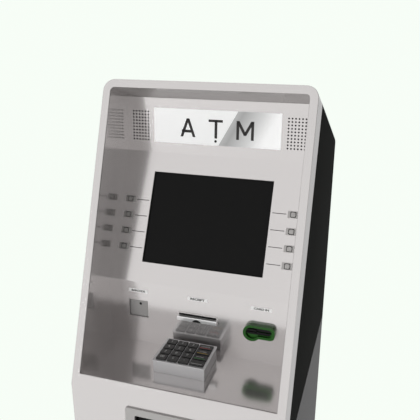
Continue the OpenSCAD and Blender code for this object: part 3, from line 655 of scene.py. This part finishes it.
def build_recess():
    """The moulded tub: ceiling, sign, screen and reader panels, shelf and both walls."""
    s = sizes()
    p = profile()
    half = half_width() - s.rim
    lip = -s.wall * normal_of(s.lean)
    start = p["ceiling"] + lip
    deselect()
    bpy.ops.mesh.primitive_plane_add(size=1)
    tub = named("recess_panel_tub")
    step = p["sign_top"] - start
    turn = Matrix.Rotation(math.atan2(step.y, step.x), 4, "X")
    middle = (start + p["sign_top"]) / 2
    tub.matrix_world = Matrix.Translation((0, *middle)) @ turn @ Matrix.Diagonal((2 * half, step.length, 1, 1))
    settle(tub)
    here = p["sign_top"]
    shelf_end = p["shelf_front"] + Vector((s.wall / math.cos(s.lean), 0))
    for there in (p["sign_foot"], p["screen_foot"], p["reader_foot"], shelf_end):
        pick(tub, "EDGE", lambda e: all((Vector(v.co[1:]) - here).length < TINY for v in e.verts))
        bpy.ops.mesh.extrude_region_move(TRANSFORM_OT_translate={"value": (0, *(there - here))})
        leave_edit()
        here = there
    for side in SIDES:
        pick(tub, "EDGE", lambda e: all(abs(v.co.x - side * half) < TINY for v in e.verts))
        bpy.ops.mesh.edge_face_add()
        leave_edit()
    pick(tub, "FACE", lambda f: True)
    bpy.ops.mesh.normals_make_consistent(inside=True)
    leave_edit()
    # The ceiling is the highest face and has to look down into the recess.
    if max(tub.data.polygons, key=lambda f: f.center.z).normal.z > 0:
        pick(tub, "FACE", lambda f: True)
        bpy.ops.mesh.flip_normals()
        leave_edit()
    bevel_edges(tub, lambda e: len(e.link_faces) == 2 and along(e, 0) and sharp(e), 1.2, 2)
    modify(tub, "SOLIDIFY", thickness=s.wall, offset=-1, use_even_offset=True)
    cutters = [
        onto(block("c", (s.lens_width / MM + 0.4, s.lens_height / MM + 0.4, 40), (0, SIGN_Y, 0)), "sign"),
        onto(block("c", (s.display_width / MM, s.display_height / MM, 30), (0, DISPLAY_Y, 0)), "screen"),
        onto(block("c", (51, 46, 40), (*SCANNER_PLACE, 0)), "reader"),
        onto(block("c", (88, 6, 40), (0, -67.5, 0)), "reader"),
        onto(block("c", (66, 16, 40), (*CARD_PLACE, 0)), "reader"),
        onto(keypad_cutter(), "shelf"),
    ]
    for side in SIDES:
        cutters.append(onto(key_sleeve_cutter(side), "screen"))
        cutters.append(onto(grille_grid("c", side, 2.1, -12, 12), "sign"))
    cut(tub, *cutters)
    return finish(tub, paint(), "fascia", ["recess_panel"], 40)


def sharp(edge):
    """True where the two faces of an edge turn by more than a few degrees."""
    return edge.calc_face_angle(0) > math.radians(5)


def keypad_cutter():
    """Block that opens the shelf for the keypad module."""
    low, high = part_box("keypad_housing")
    foot = profile()["reader_foot"]
    size = ((high.x - low.x) / MM - 3.6, (high.y - low.y) / MM - 3.6, 30)
    return block("c", size, ((low.x + high.x) / 2 / MM, ((low.y + high.y) / 2 - foot.x) / MM, 0))


def key_sleeve_cutter(side):
    """Four blocks that open the screen panel for one column of keys."""
    first = block("c", (17, 15.4, 30), (side * KEY_X, KEY_Y, 0))
    repeat(first, 4, (0, -KEY_PITCH, 0))
    return first


def grille_grid(name, side, radius, z0, z1):
    """Grid of small cylinders in the pattern of one loudspeaker grille."""
    first = cylinder(name, radius, z0, z1, (side * 176, -35), sides=12)
    repeat(first, 6, (side * 8, 0, 0))
    repeat(first, 10, (0, -7.8, 0))
    return first


# ---------------------------------------------------------------- pieces: sign


def sign_material():
    """Lit white acrylic."""
    return surface("sign_acrylic", (0.95, 0.95, 0.95), 0.2, grain=60, bump=0.0, tint=0.005, coat=0.3,
                   Emission_Color=(1, 1, 1, 1), Emission_Strength=0.2)


def shade_material():
    """Silver film that fades to white towards the lower right, crossed by a soft band of light."""
    material = surface("sign_film", (0.5, 0.5, 0.5), 0.25, grain=60, bump=0.0, tint=0.0, coat=0.3,
                       Emission_Strength=0.3)
    tree = material.node_tree
    link = tree.links.new
    shader = tree.nodes["Principled BSDF"]
    low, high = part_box("sign_lens")
    place = add_node(tree, "TexCoord")
    mapping = add_node(tree, "Mapping", Location=(-0.010, 0, -(low.z + high.z) / 2))
    link(place.outputs["Object"], mapping.inputs["Vector"])
    split = add_node(tree, "SeparateXYZ")
    link(mapping.outputs["Vector"], split.inputs["Vector"])
    # The bands lean: each point counts its distance to the right, less a part of its height.
    slope = add_node(tree, "Math")
    slope.operation = "MULTIPLY_ADD"
    slope.inputs[1].default_value = -0.55
    link(split.outputs["Z"], slope.inputs[0])
    link(split.outputs["X"], slope.inputs[2])
    spread = add_node(tree, "MapRange", From_Min=-0.02, From_Max=0.15)
    link(slope.outputs["Value"], spread.inputs["Value"])
    ramp = add_node(tree, "ValToRGB")
    stops = [(0.0, 0.30), (0.22, 0.46), (0.34, 0.36), (0.62, 0.62), (0.85, 0.93), (1.0, 0.95)]
    elements = ramp.color_ramp.elements
    while len(elements) < len(stops):
        elements.new(0.5)
    for element, (position, grey) in zip(elements, stops):
        element.position = position
        element.color = (grey, grey, grey, 1)
    link(spread.outputs["Result"], ramp.inputs["Fac"])
    link(ramp.outputs["Color"], shader.inputs["Base Color"])
    link(ramp.outputs["Color"], shader.inputs["Emission Color"])
    return material


def stroke(start, end, weight, past):
    """A bar of a letter between two points, carried on past its end by the given length."""
    step = Vector(end) - Vector(start)
    bar = block("stroke", (weight, step.length + weight + past, 0.15), (0, (past - weight) / 2, 0))
    middle = (Vector(start) + Vector(end)) / 2 * MM
    bar.matrix_world = Matrix.Translation((*middle, 0)) @ Matrix.Rotation(-math.atan2(step.x, step.y), 4, "Z")
    return settle(bar)


def sign_letter(letter, width, height):
    """One capital of the sign, made from straight bars and trimmed to its cap height."""
    w, h, weight = width / 2, height / 2, 6.8
    inner = w - weight / 2
    dip = -h * 0.45
    bars = {
        "A": ((0, h, -w + 2.4, -h, 8), (0, h, w - 2.4, -h, 8), (-w / 2, -h * 0.38, w / 2, -h * 0.38, -1)),
        "T": ((0, h, 0, -h, 8), (-w + 5, h - 2.6, w, h - 2.6, 0)),
        "M": ((-inner, h, -inner, -h, 8), (inner, h, inner, -h, 8), (-inner, h, 0, dip, 1), (inner, h, 0, dip, 1)),
    }[letter]
    strokes = [stroke((x0, y0), (x1, y1), weight, past) for x0, y0, x1, y1, past in bars]
    glyph = join("sign_letter_" + letter, strokes)
    for end in SIDES:
        slice_off(glyph, Vector((0, end * h * MM, 0)), Vector((0, end, 0)), fill=True)
    return glyph


def build_sign():
    """Lit lens with its silver film, the sign's letters and the small camera."""
    s = sizes()
    lens = plate("sign_lens_plate", s.lens_width / MM, s.lens_height / MM, -6, 0.8, 1.2, 0.3, (0, SIGN_Y))
    cut(lens, cylinder("c", 3.3, -20, 20, (0, SIGN_CAMERA_Y)))
    finish(onto(lens, "sign"), sign_material(), "fascia", ["sign_lens"])
    film = block("sign_film_sheet", (152, s.lens_height / MM - 0.6, 0.1), (84, SIGN_Y, 0.87))
    # The film's left edge leans: its foot moves a little to the left, its top well to the right.
    bottom = SIGN_Y - s.lens_height / MM / 2 + 0.3
    pick(film, "EDGE", lambda e: all(v.co.x < 0.01 and v.co.y < (bottom + 1) * MM for v in e.verts))
    bpy.ops.transform.translate(value=(-1.0 * MM, 0, 0))
    leave_edit()
    pick(film, "EDGE", lambda e: all(v.co.x < 0.01 and v.co.y > SIGN_Y * MM for v in e.verts))
    bpy.ops.transform.translate(value=(47.0 * MM, 0, 0))
    leave_edit()
    finish(onto(film, "sign"), shade_material(), "fascia")
    grey_ink = surface("letter_grey", (0.06, 0.056, 0.056), 0.6, grain=2000, bump=0.02, Specular_IOR_Level=0.1)
    for letter, x, width in (("A", -71, 37), ("T", 0.5, 34), ("M", 73, 43)):
        glyph = sign_letter(letter, width, s.letter_height / MM)
        glyph.location = Vector((x, SIGN_Y - 2.5, 0.98)) * MM
        finish(onto(settle(glyph), "sign"), grey_ink, "fascia")
    # Black discs set just inside the grille holes: the dark of the speaker behind them, with painted shade for the
    # holes' dark insides.
    hole_shade_black = surface("speaker_hole_shade", (0.012, 0.012, 0.012), 0.9, Specular_IOR_Level=0.0)
    for side, word in zip(SIDES, ("left", "right")):
        hole_disc = grille_grid("speaker_hole_shade_" + word, side, 2.07, -2.6, -0.7)
        finish(onto(hole_disc, "sign"), hole_shade_black, "fascia")
    eye = cylinder("pinhole_camera_eye", 2.7, -7, 1.2, (0, SIGN_CAMERA_Y), 32)
    soften_front(eye, 0.6, 3)
    finish(onto(eye, "sign"), black_plastic(), "fascia")


# ---------------------------------------------------------------- pieces: display and keys


def build_display():
    """Dark glass set back in its opening, with a thin black gasket round it."""
    s = sizes()
    glass = surface("screen_glass", (0.0155, 0.0155, 0.0155), 0.45, grain=40, bump=0.0, tint=0.02,
                    Specular_IOR_Level=0.04)
    pane = plate("display_glass_pane", s.display_width / MM + 13, s.display_height / MM + 11, -6.3, -3.45, 2, 0.3,
                 (0, DISPLAY_Y))
    finish(onto(pane, "screen"), glass, "fascia", ["display_glass"])
    gasket = plate("display_gasket", s.display_width / MM - 0.2, s.display_height / MM - 0.2, -3.44, -0.35, 1, 0,
                   (0, DISPLAY_Y))
    cut(gasket, block("c", (s.display_width / MM - 2.6, s.display_height / MM - 2.6, 30), (0, DISPLAY_Y, 0)))
    finish(onto(gasket, "screen"), black_plastic(), "fascia")


def build_function_keys():
    """Eight silver housings with their keys and the lines that lead to the display."""
    housing = plate("key_housing", 26, 16.5, 0, 2, 1.4, 0.5)
    sleeve = plate("sleeve", 16.4, 14.8, -9, 0.5, 1, 0)
    cut(housing, plate("c", 14.2, 13.6, -3, 4, 3.0, 0))
    cut(sleeve, plate("c", 14.2, 13.6, -8.2, 4, 3.0, 0))
    cap = plate("key_cap", 11.4, 10.8, -6.4, 3.3, 2.6, 0.9)
    line = block("guide_line", (33, 1.5, 0.1), (0, 0, 0.06))
    wells = surface("key_well", (0.02, 0.02, 0.02), 0.6)
    for side, letter in zip(SIDES, "lr"):
        for row in range(4):
            place = (side * KEY_X, KEY_Y - KEY_PITCH * row, 0)
            tag = f"{letter}{row + 1}"
            finish(onto(copy(housing, "key_housing_" + tag, place), "screen"), silver(), "fascia",
                   ["key_housings"])
            finish(onto(copy(sleeve, "key_sleeve_" + tag, place), "screen"), wells, "fascia")
            finish(onto(copy(cap, "function_key_cap_" + tag, place), "screen"), silver(), "function_key_" + tag,
                   ["function_key_" + tag])
            here = (side * GUIDE_X, KEY_Y - KEY_PITCH * row, 0)
            finish(onto(copy(line, "guide_line_" + tag, here), "screen"), ink(), "fascia")
    for pattern in (housing, sleeve, cap, line):
        bpy.data.meshes.remove(pattern.data)


# ---------------------------------------------------------------- pieces: reader panel


def build_labels():
    """Three white label plates with generic words."""
    for text, x in LABELS:
        tag = text.split()[0].lower()
        label = plate("label_plate_" + tag, 51, 9, 0, 0.7, 1, 0.2, (x, LABEL_Y))
        finish(onto(label, "reader"), white_plastic(), "fascia", ["label_plates"])
        word = words("label_word_" + tag, text, 5.6, (x, LABEL_Y), 0.74, width=36, depth=0.06, heavy=0.045)
        finish(onto(word, "reader"), ink(), "fascia")


def build_scanner():
    """Sunk scanner window: a grey tray with a small lens in its floor."""
    grey = surface("grey_plastic", (0.36, 0.35, 0.345), 0.4, metal=0.3, grain=1600, bump=0.05, tint=0.05)
    tray = plate("scanner_window_tray", 50.4, 45.4, -13, -0.4, 1, 0, SCANNER_PLACE)
    cut(tray, plate("c", 49.4, 44.4, -3.4, 4, 0.8, 0, SCANNER_PLACE))
    finish(onto(tray, "reader"), grey, "fascia", ["scanner_window"])
    eye = cylinder("scanner_eye", 3.4, -3.8, -2.9, (-151.7, -61.5), 24)
    soften_front(eye, 0.3)
    finish(onto(eye, "reader"), black_plastic(), "fascia")


def build_receipt():
    """Receipt bezel: base plate, black throat with the slot, and the polished bar with its thumb notch."""
    slot_y = -69.3
    notch_y = -87.6
    base = plate("receipt_base", 102, 9.4, 0, 1.4, 1.5, 0.4, (0, -68.5))
    cut(base, block("c", (96, 5.4, 20), (0, slot_y, 0)))
    finish(onto(base, "reader"), paint(), "fascia")
    throat = plate("receipt_throat", 97, 6.4, -3, 0.9, 0.5, 0, (0, slot_y))
    cut(throat, block("c", (83, 3.2, 30), (0, -67.9, 8)))
    finish(onto(throat, "reader"), black_plastic(), "fascia")
    bar = block("receipt_bar", (101, 10.6, 9.4), (0, -77.4, 5.1))
    bevel_edges(bar, lambda e: along(e, 0), 1.2, 4)
    bevel_edges(bar, lambda e: side_edge(e, 50.5 * MM), 0.6, 2)
    cut(bar, cylinder("c", 12.6, 1.0, 30, (0, notch_y), 48))
    finish(onto(bar, "reader"), polished(), "fascia", ["receipt_bezel"], 30)
    pocket = cylinder("receipt_notch", 12.2, 0.5, 9.0, (0, notch_y), 48)
    cut(pocket, block("c", (40, 20, 30), (0, -92.4, 0)))
    finish(onto(pocket, "reader"), black_plastic(), "fascia")


def build_card_bezel():
    """Green two-lobed bezel with a sunk middle and the card slot."""
    green = surface("green_plastic", looks().green, 0.22, grain=200, bump=0.02, tint=0.35, coat=0.15,
                    Specular_IOR_Level=0.25)
    lobe = cylinder("card_bezel_body", 21, 0, 12, (137, -84.6), 64)
    wing = plate("wing", 60, 33.4, 0, 12, 11.5, 0, (162, -81))
    unite(lobe, wing)
    soften_front(lobe, 3.0, 4)
    inner = cylinder("c", 15.2, 6.5, 20, (138, -83.8), 64)
    inner_wing = plate("c", 48, 21, 6.5, 20, 8, 0, (161, -80.6))
    cut(lobe, inner, inner_wing)
    cut(lobe, block("c", (56, 3, 40), (*CARD_PLACE, 0)))
    finish(onto(lobe, "reader"), green, "fascia", ["card_bezel"], 40)
    floor = plate("card_bezel_floor", 46, 17, 5.9, 6.9, 7, 0.2, (159.5, -80.6))
    cut(floor, block("c", (54, 2.6, 40), (*CARD_PLACE, 0)))
    finish(onto(floor, "reader"), black_plastic(), "fascia")
    guide = plate("card_guide", 24, 13, 5.9, 10.5, 5, 1.2, (137, -81))
    cut(guide, block("c", (80, 2.2, 40), (*CARD_PLACE, 0)))
    finish(onto(guide, "reader"), black_plastic(), "fascia")


# ---------------------------------------------------------------- pieces: keypad


def build_keypad():
    """Brushed plate with openings, and sixteen black keys with printed legends."""
    low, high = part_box("keypad_housing")
    foot = profile()["reader_foot"]
    centre = ((low.x + high.x) / 2 / MM, ((low.y + high.y) / 2 - foot.x) / MM)
    size = ((high.x - low.x) / MM, (high.y - low.y) / MM)
    top = plate("keypad_plate", size[0], size[1], 0, 2, 3, 0.6, centre)
    tall = (pad_top() - low.z) / MM - 1
    box = block("keypad_box", (size[0] - 4.2, size[1] - 4.2, tall), (*centre, -tall / 2))
    deck = surface("keypad_metal", (0.60, 0.60, 0.61), 0.36, metal=0.7, grain=900, bump=0.1, streak=(0.04, 1, 1))
    openings = []
    rubber = surface("key_black", (0.013, 0.013, 0.013), 0.32, grain=2500, bump=0.04)
    for row, legends in enumerate(LEGENDS):
        for column, text in enumerate(legends):
            node = f"pad_key_{row + 1}{column + 1}"
            a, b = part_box(node)
            middle = ((a.x + b.x) / 2 / MM, ((a.y + b.y) / 2 - foot.x) / MM)
            wide, deep = (b.x - a.x) / MM, (b.y - a.y) / MM
            openings.append(block("c", (wide + 0.7, deep + 0.7, 10), (*middle, 0.2)))
            key = plate("pad_key_cap", wide, deep, -2.4, 5.4, 1.5, 1.0, middle)
            finish(onto(key, "pad"), rubber, node, [node])
            key.name = node + "_cap"
            if text:
                label_key(text, node, middle)
            if column == 3:
                stripe = plate("stripe", wide - 8, 2.2, 5.38, 5.5, 0.6, 0, (middle[0], middle[1] - 5.2))
                stripe.name = node + "_stripe"
                tint = surface(f"key_stripe_{row + 1}", WIDE_COLOURS[row], 0.4, grain=1500, bump=0.02)
                finish(onto(stripe, "pad"), tint, node)
    cut(top, *[copy(o, "c", (0, 0, 0)) for o in openings])
    cut(box, *openings)
    finish(onto(top, "pad"), deck, "fascia", ["keypad_housing"])
    finish(onto(box, "pad"), deck, "fascia")


def label_key(text, node, middle):
    """Printed legend on a keypad key."""
    white = surface("legend_white", (0.75, 0.75, 0.74), 0.5, grain=1500, bump=0.02)
    height = 4.0 if len(text) > 2 else 7.5
    if text == ".":
        height = 1.6
    legend = words(node + "_legend", text, height, (middle[0], middle[1] + 1), 5.44, depth=0.1)
    finish(onto(legend, "pad"), white, node)


# ---------------------------------------------------------------- pieces: apron, cabinet and the rest


def build_outlet():
    """Cash outlet bezel, its shutter and the fascia lock."""
    middle = (outlet_height() - profile()["knee"].y) / MM
    bezel = plate("cash_bezel_plate", 228, 64, 0, 4, 8, 1.2, (0, middle))
    throat = block("throat", (186, 32, 4.4), (0, middle, -1.9))
    unite(bezel, throat)
    cut(bezel, plate("c", 180, 26, -20, 20, 4, 0, (0, middle)))
    soften_front(bezel, 0.8)
    finish(onto(bezel, "apron"), silver(), "fascia", ["cash_bezel"])
    shutter = plate("cash_shutter_plate", 195.6, 33.6, -10.8, -8.1, 2, 0.4, (0, middle))
    pick(shutter, "FACE", lambda f: f.normal.z > 0.99)
    bpy.ops.mesh.inset(thickness=4 * MM)
    bpy.ops.mesh.extrude_region_move(TRANSFORM_OT_translate={"value": (0, 0, -0.6 * MM)})
    leave_edit()
    finish(onto(shutter, "apron"), black_plastic(), "cash_shutter", ["cash_shutter"])
    x = middle_of("fascia_lock")[0]
    barrel = cylinder("fascia_lock_barrel", 11, -82, 0.5, (x, middle), 48)
    ring = cylinder("fascia_lock_ring", 13, 0.1, 2.9, (x, middle), 48)
    soften_front(ring, 0.8, 3)
    cut(ring, block("c", (2.2, 9, 6), (x, middle, 3.6)))
    cam = plate("fascia_lock_cam", 12, 44, -86, -82, 3, 0.5, (x, middle + 9))
    whole = join("fascia_lock_set", [barrel, ring, cam])
    finish(onto(whole, "apron"), polished(), "fascia_lock", ["fascia_lock"])


def build_cabinet():
    """Black sheet cabinet with its rounded sloping roof, louvres and fan outlet."""
    s = sizes()
    p = profile()
    low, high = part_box("cabinet_shell")
    half = half_width()
    deselect()
    bpy.ops.mesh.primitive_cube_add(size=1)
    shell = named("cabinet_shell_sheet")
    shell.matrix_world = Matrix.Translation((0, high.y - 0.5, low.z + 0.5)) @ Matrix.Diagonal((2 * half, 1, 1, 1))
    settle(shell)
    outward = Vector((0, *normal_of(s.lean)))
    front = Vector((0, *p["top"])) - (s.shell_depth + PARTING * MM) * outward
    fall = math.atan(s.roof_drop / (high.y - front.y))
    roof_up = Vector((0, *up_of(fall)))
    slice_off(shell, front, outward, fill=True)
    slice_off(shell, front, roof_up, fill=True)
    round_crest(shell, front, roof_up)
    pick(shell, "FACE", lambda f: f.normal.dot(outward) > 0.999 or f.normal.z < -0.999)
    bpy.ops.mesh.delete(type="FACE")
    leave_edit()
    modify(shell, "SOLIDIFY", thickness=s.sheet, offset=-1, use_even_offset=True)
    modify(shell, "BEVEL", width=1.2 * MM, segments=2, limit_method="ANGLE", angle_limit=math.radians(50))
    louvre = block("c", (180, 10, 6), (-100, high.y / MM, 1123))
    repeat(louvre, 10, (0, 0, 18))
    cut(shell, louvre)
    x, _, z = middle_of("fan_rotor")
    for step in range(-4, 5):
        wide = 2 * math.sqrt(54**2 - (12 * step) ** 2)
        cut(shell, block("c", (wide, 10, 7), (x, high.y / MM, z + 12 * step)))
    x, _, z = middle_of("power_inlet")
    cut(shell, block("c", (28.8, 10, 24.8), (x, high.y / MM, z)))
    finish(shell, black_paint(), "cabinet", ["cabinet_shell"], 40)


def dress_cad():
    """Better materials on the CAD nodes that stay in view or inside."""
    cassette = surface("cassette_plastic", (0.06, 0.075, 0.10), 0.55, grain=900, bump=0.2)
    paper = surface("paper", (0.86, 0.85, 0.82), 0.8, grain=700, bump=0.1, tint=0.02)
    choice = (
        (black_paint(), "plinth"),
        (safe_paint(), "safe_body safe_door"),
        (brushed(), "safe_hinges fascia_hinges locking_bolts"),
        (polished(), "safe_handle"),
        (black_plastic(), "combination_dial cooling_fan fan_rotor power_inlet"),
        (black_plastic(), "pinhole_camera speakers receipt_printer card_reader"),
        (zinc(), "power_supply computer_box cash_dispenser display_module"),
        (white_plastic(), "sign_light_box"),
        (cassette, "cash_cassettes"),
        (paper, "paper_roll"),
    )
    for material, nodes in choice:
        for node in nodes.split():
            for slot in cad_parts[node].material_slots:
                slot.material = material


# ---------------------------------------------------------------- stage


def lamp(name, place, target, width, height, power):
    """A soft upright lamp that looks at a target and leaves no highlight of its own."""
    deselect()
    bpy.ops.object.light_add(type="AREA", location=place)
    light = bpy.context.object
    light.name = name
    light.data.shape = "RECTANGLE"
    light.data.size = width
    light.data.size_y = height
    light.data.energy = power
    light.visible_glossy = False
    light.rotation_euler = (Vector(target) - Vector(place)).to_track_quat("-Z", "Y").to_euler()


def floor_material():
    """Pale floor: its plain colour for the camera, the pale room for mirrors, and matt for the rest."""
    pale = surface("pale_floor", looks().floor, 0.9, grain=3, bump=0.0, tint=0.002, Specular_IOR_Level=0.0)
    tree = pale.node_tree
    link = tree.links.new
    ray = add_node(tree, "LightPath")
    tone = add_node(tree, "MixRGB", Color1=MIRRORED, Color2=(*looks().floor, 1))
    link(ray.outputs["Is Camera Ray"], tone.inputs["Fac"])
    plain = add_node(tree, "Emission")
    link(tone.outputs["Color"], plain.inputs["Color"])
    either = add_node(tree, "Math")
    either.operation = "MAXIMUM"
    link(ray.outputs["Is Camera Ray"], either.inputs[0])
    link(ray.outputs["Is Glossy Ray"], either.inputs[1])
    mix = add_node(tree, "MixShader")
    link(either.outputs["Value"], mix.inputs["Fac"])
    link(tree.nodes["Principled BSDF"].outputs["BSDF"], mix.inputs[1])
    link(plain.outputs["Emission"], mix.inputs[2])
    link(mix.outputs["Shader"], tree.nodes["Material Output"].inputs["Surface"])
    return pale


def light_world():
    """World: the floor's colour for the camera, dim for matt surfaces, a bright room for mirrors."""
    world = bpy.context.scene.world or bpy.data.worlds.new("World")
    bpy.context.scene.world = world
    world.use_nodes = True
    tree = world.node_tree
    tree.nodes.clear()
    link = tree.links.new
    out = add_node(tree, "OutputWorld")
    ray = add_node(tree, "LightPath")
    seen = add_node(tree, "Background", Color=(*looks().floor, 1))
    dim = add_node(tree, "Background", Color=(1, 1, 1, 1), Strength=0.07)
    room = add_node(tree, "Background", Color=MIRRORED)
    place = add_node(tree, "TexCoord")
    split = add_node(tree, "SeparateXYZ")
    # The room fades to half its light towards the right.
    fade = add_node(tree, "MapRange", From_Min=0.1, From_Max=0.5, To_Min=1.0, To_Max=0.5)
    link(place.outputs["Generated"], split.inputs["Vector"])
    link(split.outputs["X"], fade.inputs["Value"])
    link(fade.outputs["Result"], room.inputs["Strength"])
    mirrored = add_node(tree, "MixShader")
    link(ray.outputs["Is Glossy Ray"], mirrored.inputs["Fac"])
    link(dim.outputs["Background"], mirrored.inputs[1])
    link(room.outputs["Background"], mirrored.inputs[2])
    mix = add_node(tree, "MixShader")
    link(ray.outputs["Is Camera Ray"], mix.inputs["Fac"])
    link(mirrored.outputs["Shader"], mix.inputs[1])
    link(seen.outputs["Background"], mix.inputs[2])
    link(mix.outputs["Shader"], out.inputs["Surface"])


def build_stage():
    """Pale floor, world, one soft lamp and the camera."""
    deselect()
    bpy.ops.mesh.primitive_plane_add(size=60, location=(0, 0, -0.0005))
    floor = named("floor")
    floor.data.materials.append(floor_material())
    floor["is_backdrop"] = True
    light_world()
    lamp("key_lamp", (-1.6, -3.8, 1.1), target=(0, -0.2, 1.25), width=0.9, height=1.7, power=85)
    deselect()
    edge = profile()["top"]
    eye = Vector((EYE_RIGHT, edge.x - EYE_AHEAD, edge.y + EYE_ABOVE))
    turn = (math.pi / 2 - math.radians(EYE_PITCH), 0, math.radians(EYE_YAW))
    bpy.ops.object.camera_add(location=eye, rotation=turn)
    camera = bpy.context.object
    camera.data.sensor_width = 36
    camera.data.lens = EYE_LENS
    camera.data.dof.use_dof = False
    bpy.context.scene.camera = camera
    bpy.context.scene.view_settings.view_transform = "Standard"


# ---------------------------------------------------------------- operators and panel


def make_operator(name, label, doc, build):
    """An operator class that builds one piece or group of like pieces."""

    def execute(self, context):
        """Builds the step's pieces."""
        build()
        return {"FINISHED"}

    return type(
        "CASH_OT_" + name,
        (bpy.types.Operator,),
        {"__doc__": doc, "bl_idname": "cash." + name, "bl_label": label, "bl_options": {"REGISTER", "UNDO"},
         "execute": execute},
    )


STEPS = (
    ("surround", "Surround", "Models the leaning light surround", build_surround),
    ("knuckles", "Hinge knuckles", "Models the surround's hinge knuckles", build_knuckles),
    ("recess", "Recess", "Models the moulded recess with its panels and shelf", build_recess),
    ("sign", "Sign", "Models the lit sign, its letters and camera", build_sign),
    ("display", "Display", "Models the display glass and gasket", build_display),
    ("function_keys", "Function keys", "Models the keys beside the display", build_function_keys),
    ("labels", "Labels", "Models the label plates", build_labels),
    ("scanner", "Scanner", "Models the scanner window", build_scanner),
    ("receipt", "Receipt slot", "Models the receipt bezel", build_receipt),
    ("card", "Card slot", "Models the card bezel", build_card_bezel),
    ("keypad", "Keypad", "Models the keypad and its keys", build_keypad),
    ("outlet", "Cash outlet", "Models the cash outlet, shutter and lock", build_outlet),
    ("cabinet", "Cabinet", "Models the black cabinet", build_cabinet),
    ("dress", "Inner parts", "Gives the CAD nodes their materials", dress_cad),
    ("stage", "Stage", "Sets the floor, world, lamp and camera", build_stage),
)
OPERATORS = [make_operator(*step) for step in STEPS]


class CASH_PT_machine(bpy.types.Panel):
    """Sidebar panel with the machine's steps and sizes."""

    bl_idname = "CASH_PT_machine"
    bl_label = "Cash machine"
    bl_space_type = "VIEW_3D"
    bl_region_type = "UI"
    bl_category = "Cash machine"

    def draw(self, context):
        """Lists the properties, then the operators."""
        for group in (context.scene.cash_machine_sizes, context.scene.cash_machine_looks):
            for key in group.__annotations__:
                self.layout.prop(group, key)
        for operator in OPERATORS:
            self.layout.operator(operator.bl_idname)


CLASSES = [MachineSizes, MachineLooks, *OPERATORS, CASH_PT_machine]


def register():
    """Registers the classes and hangs the properties on the scene."""
    for item in CLASSES:
        bpy.utils.register_class(item)
    bpy.types.Scene.cash_machine_sizes = PointerProperty(type=MachineSizes)
    bpy.types.Scene.cash_machine_looks = PointerProperty(type=MachineLooks)


def unregister():
    """Takes away what register added."""
    del bpy.types.Scene.cash_machine_looks
    del bpy.types.Scene.cash_machine_sizes
    for item in reversed(CLASSES):
        bpy.utils.unregister_class(item)


def corners():
    """The object's lowest and highest corner as plain lists."""
    return [[round(v, 5) for v in corner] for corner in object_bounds()]


def main():
    """Builds every piece and the stage, and writes the object's box before and after."""
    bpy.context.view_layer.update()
    register()
    for name, _label, _doc, _build in STEPS:
        getattr(bpy.ops.cash, name)()


if __name__ == "__main__":
    main()
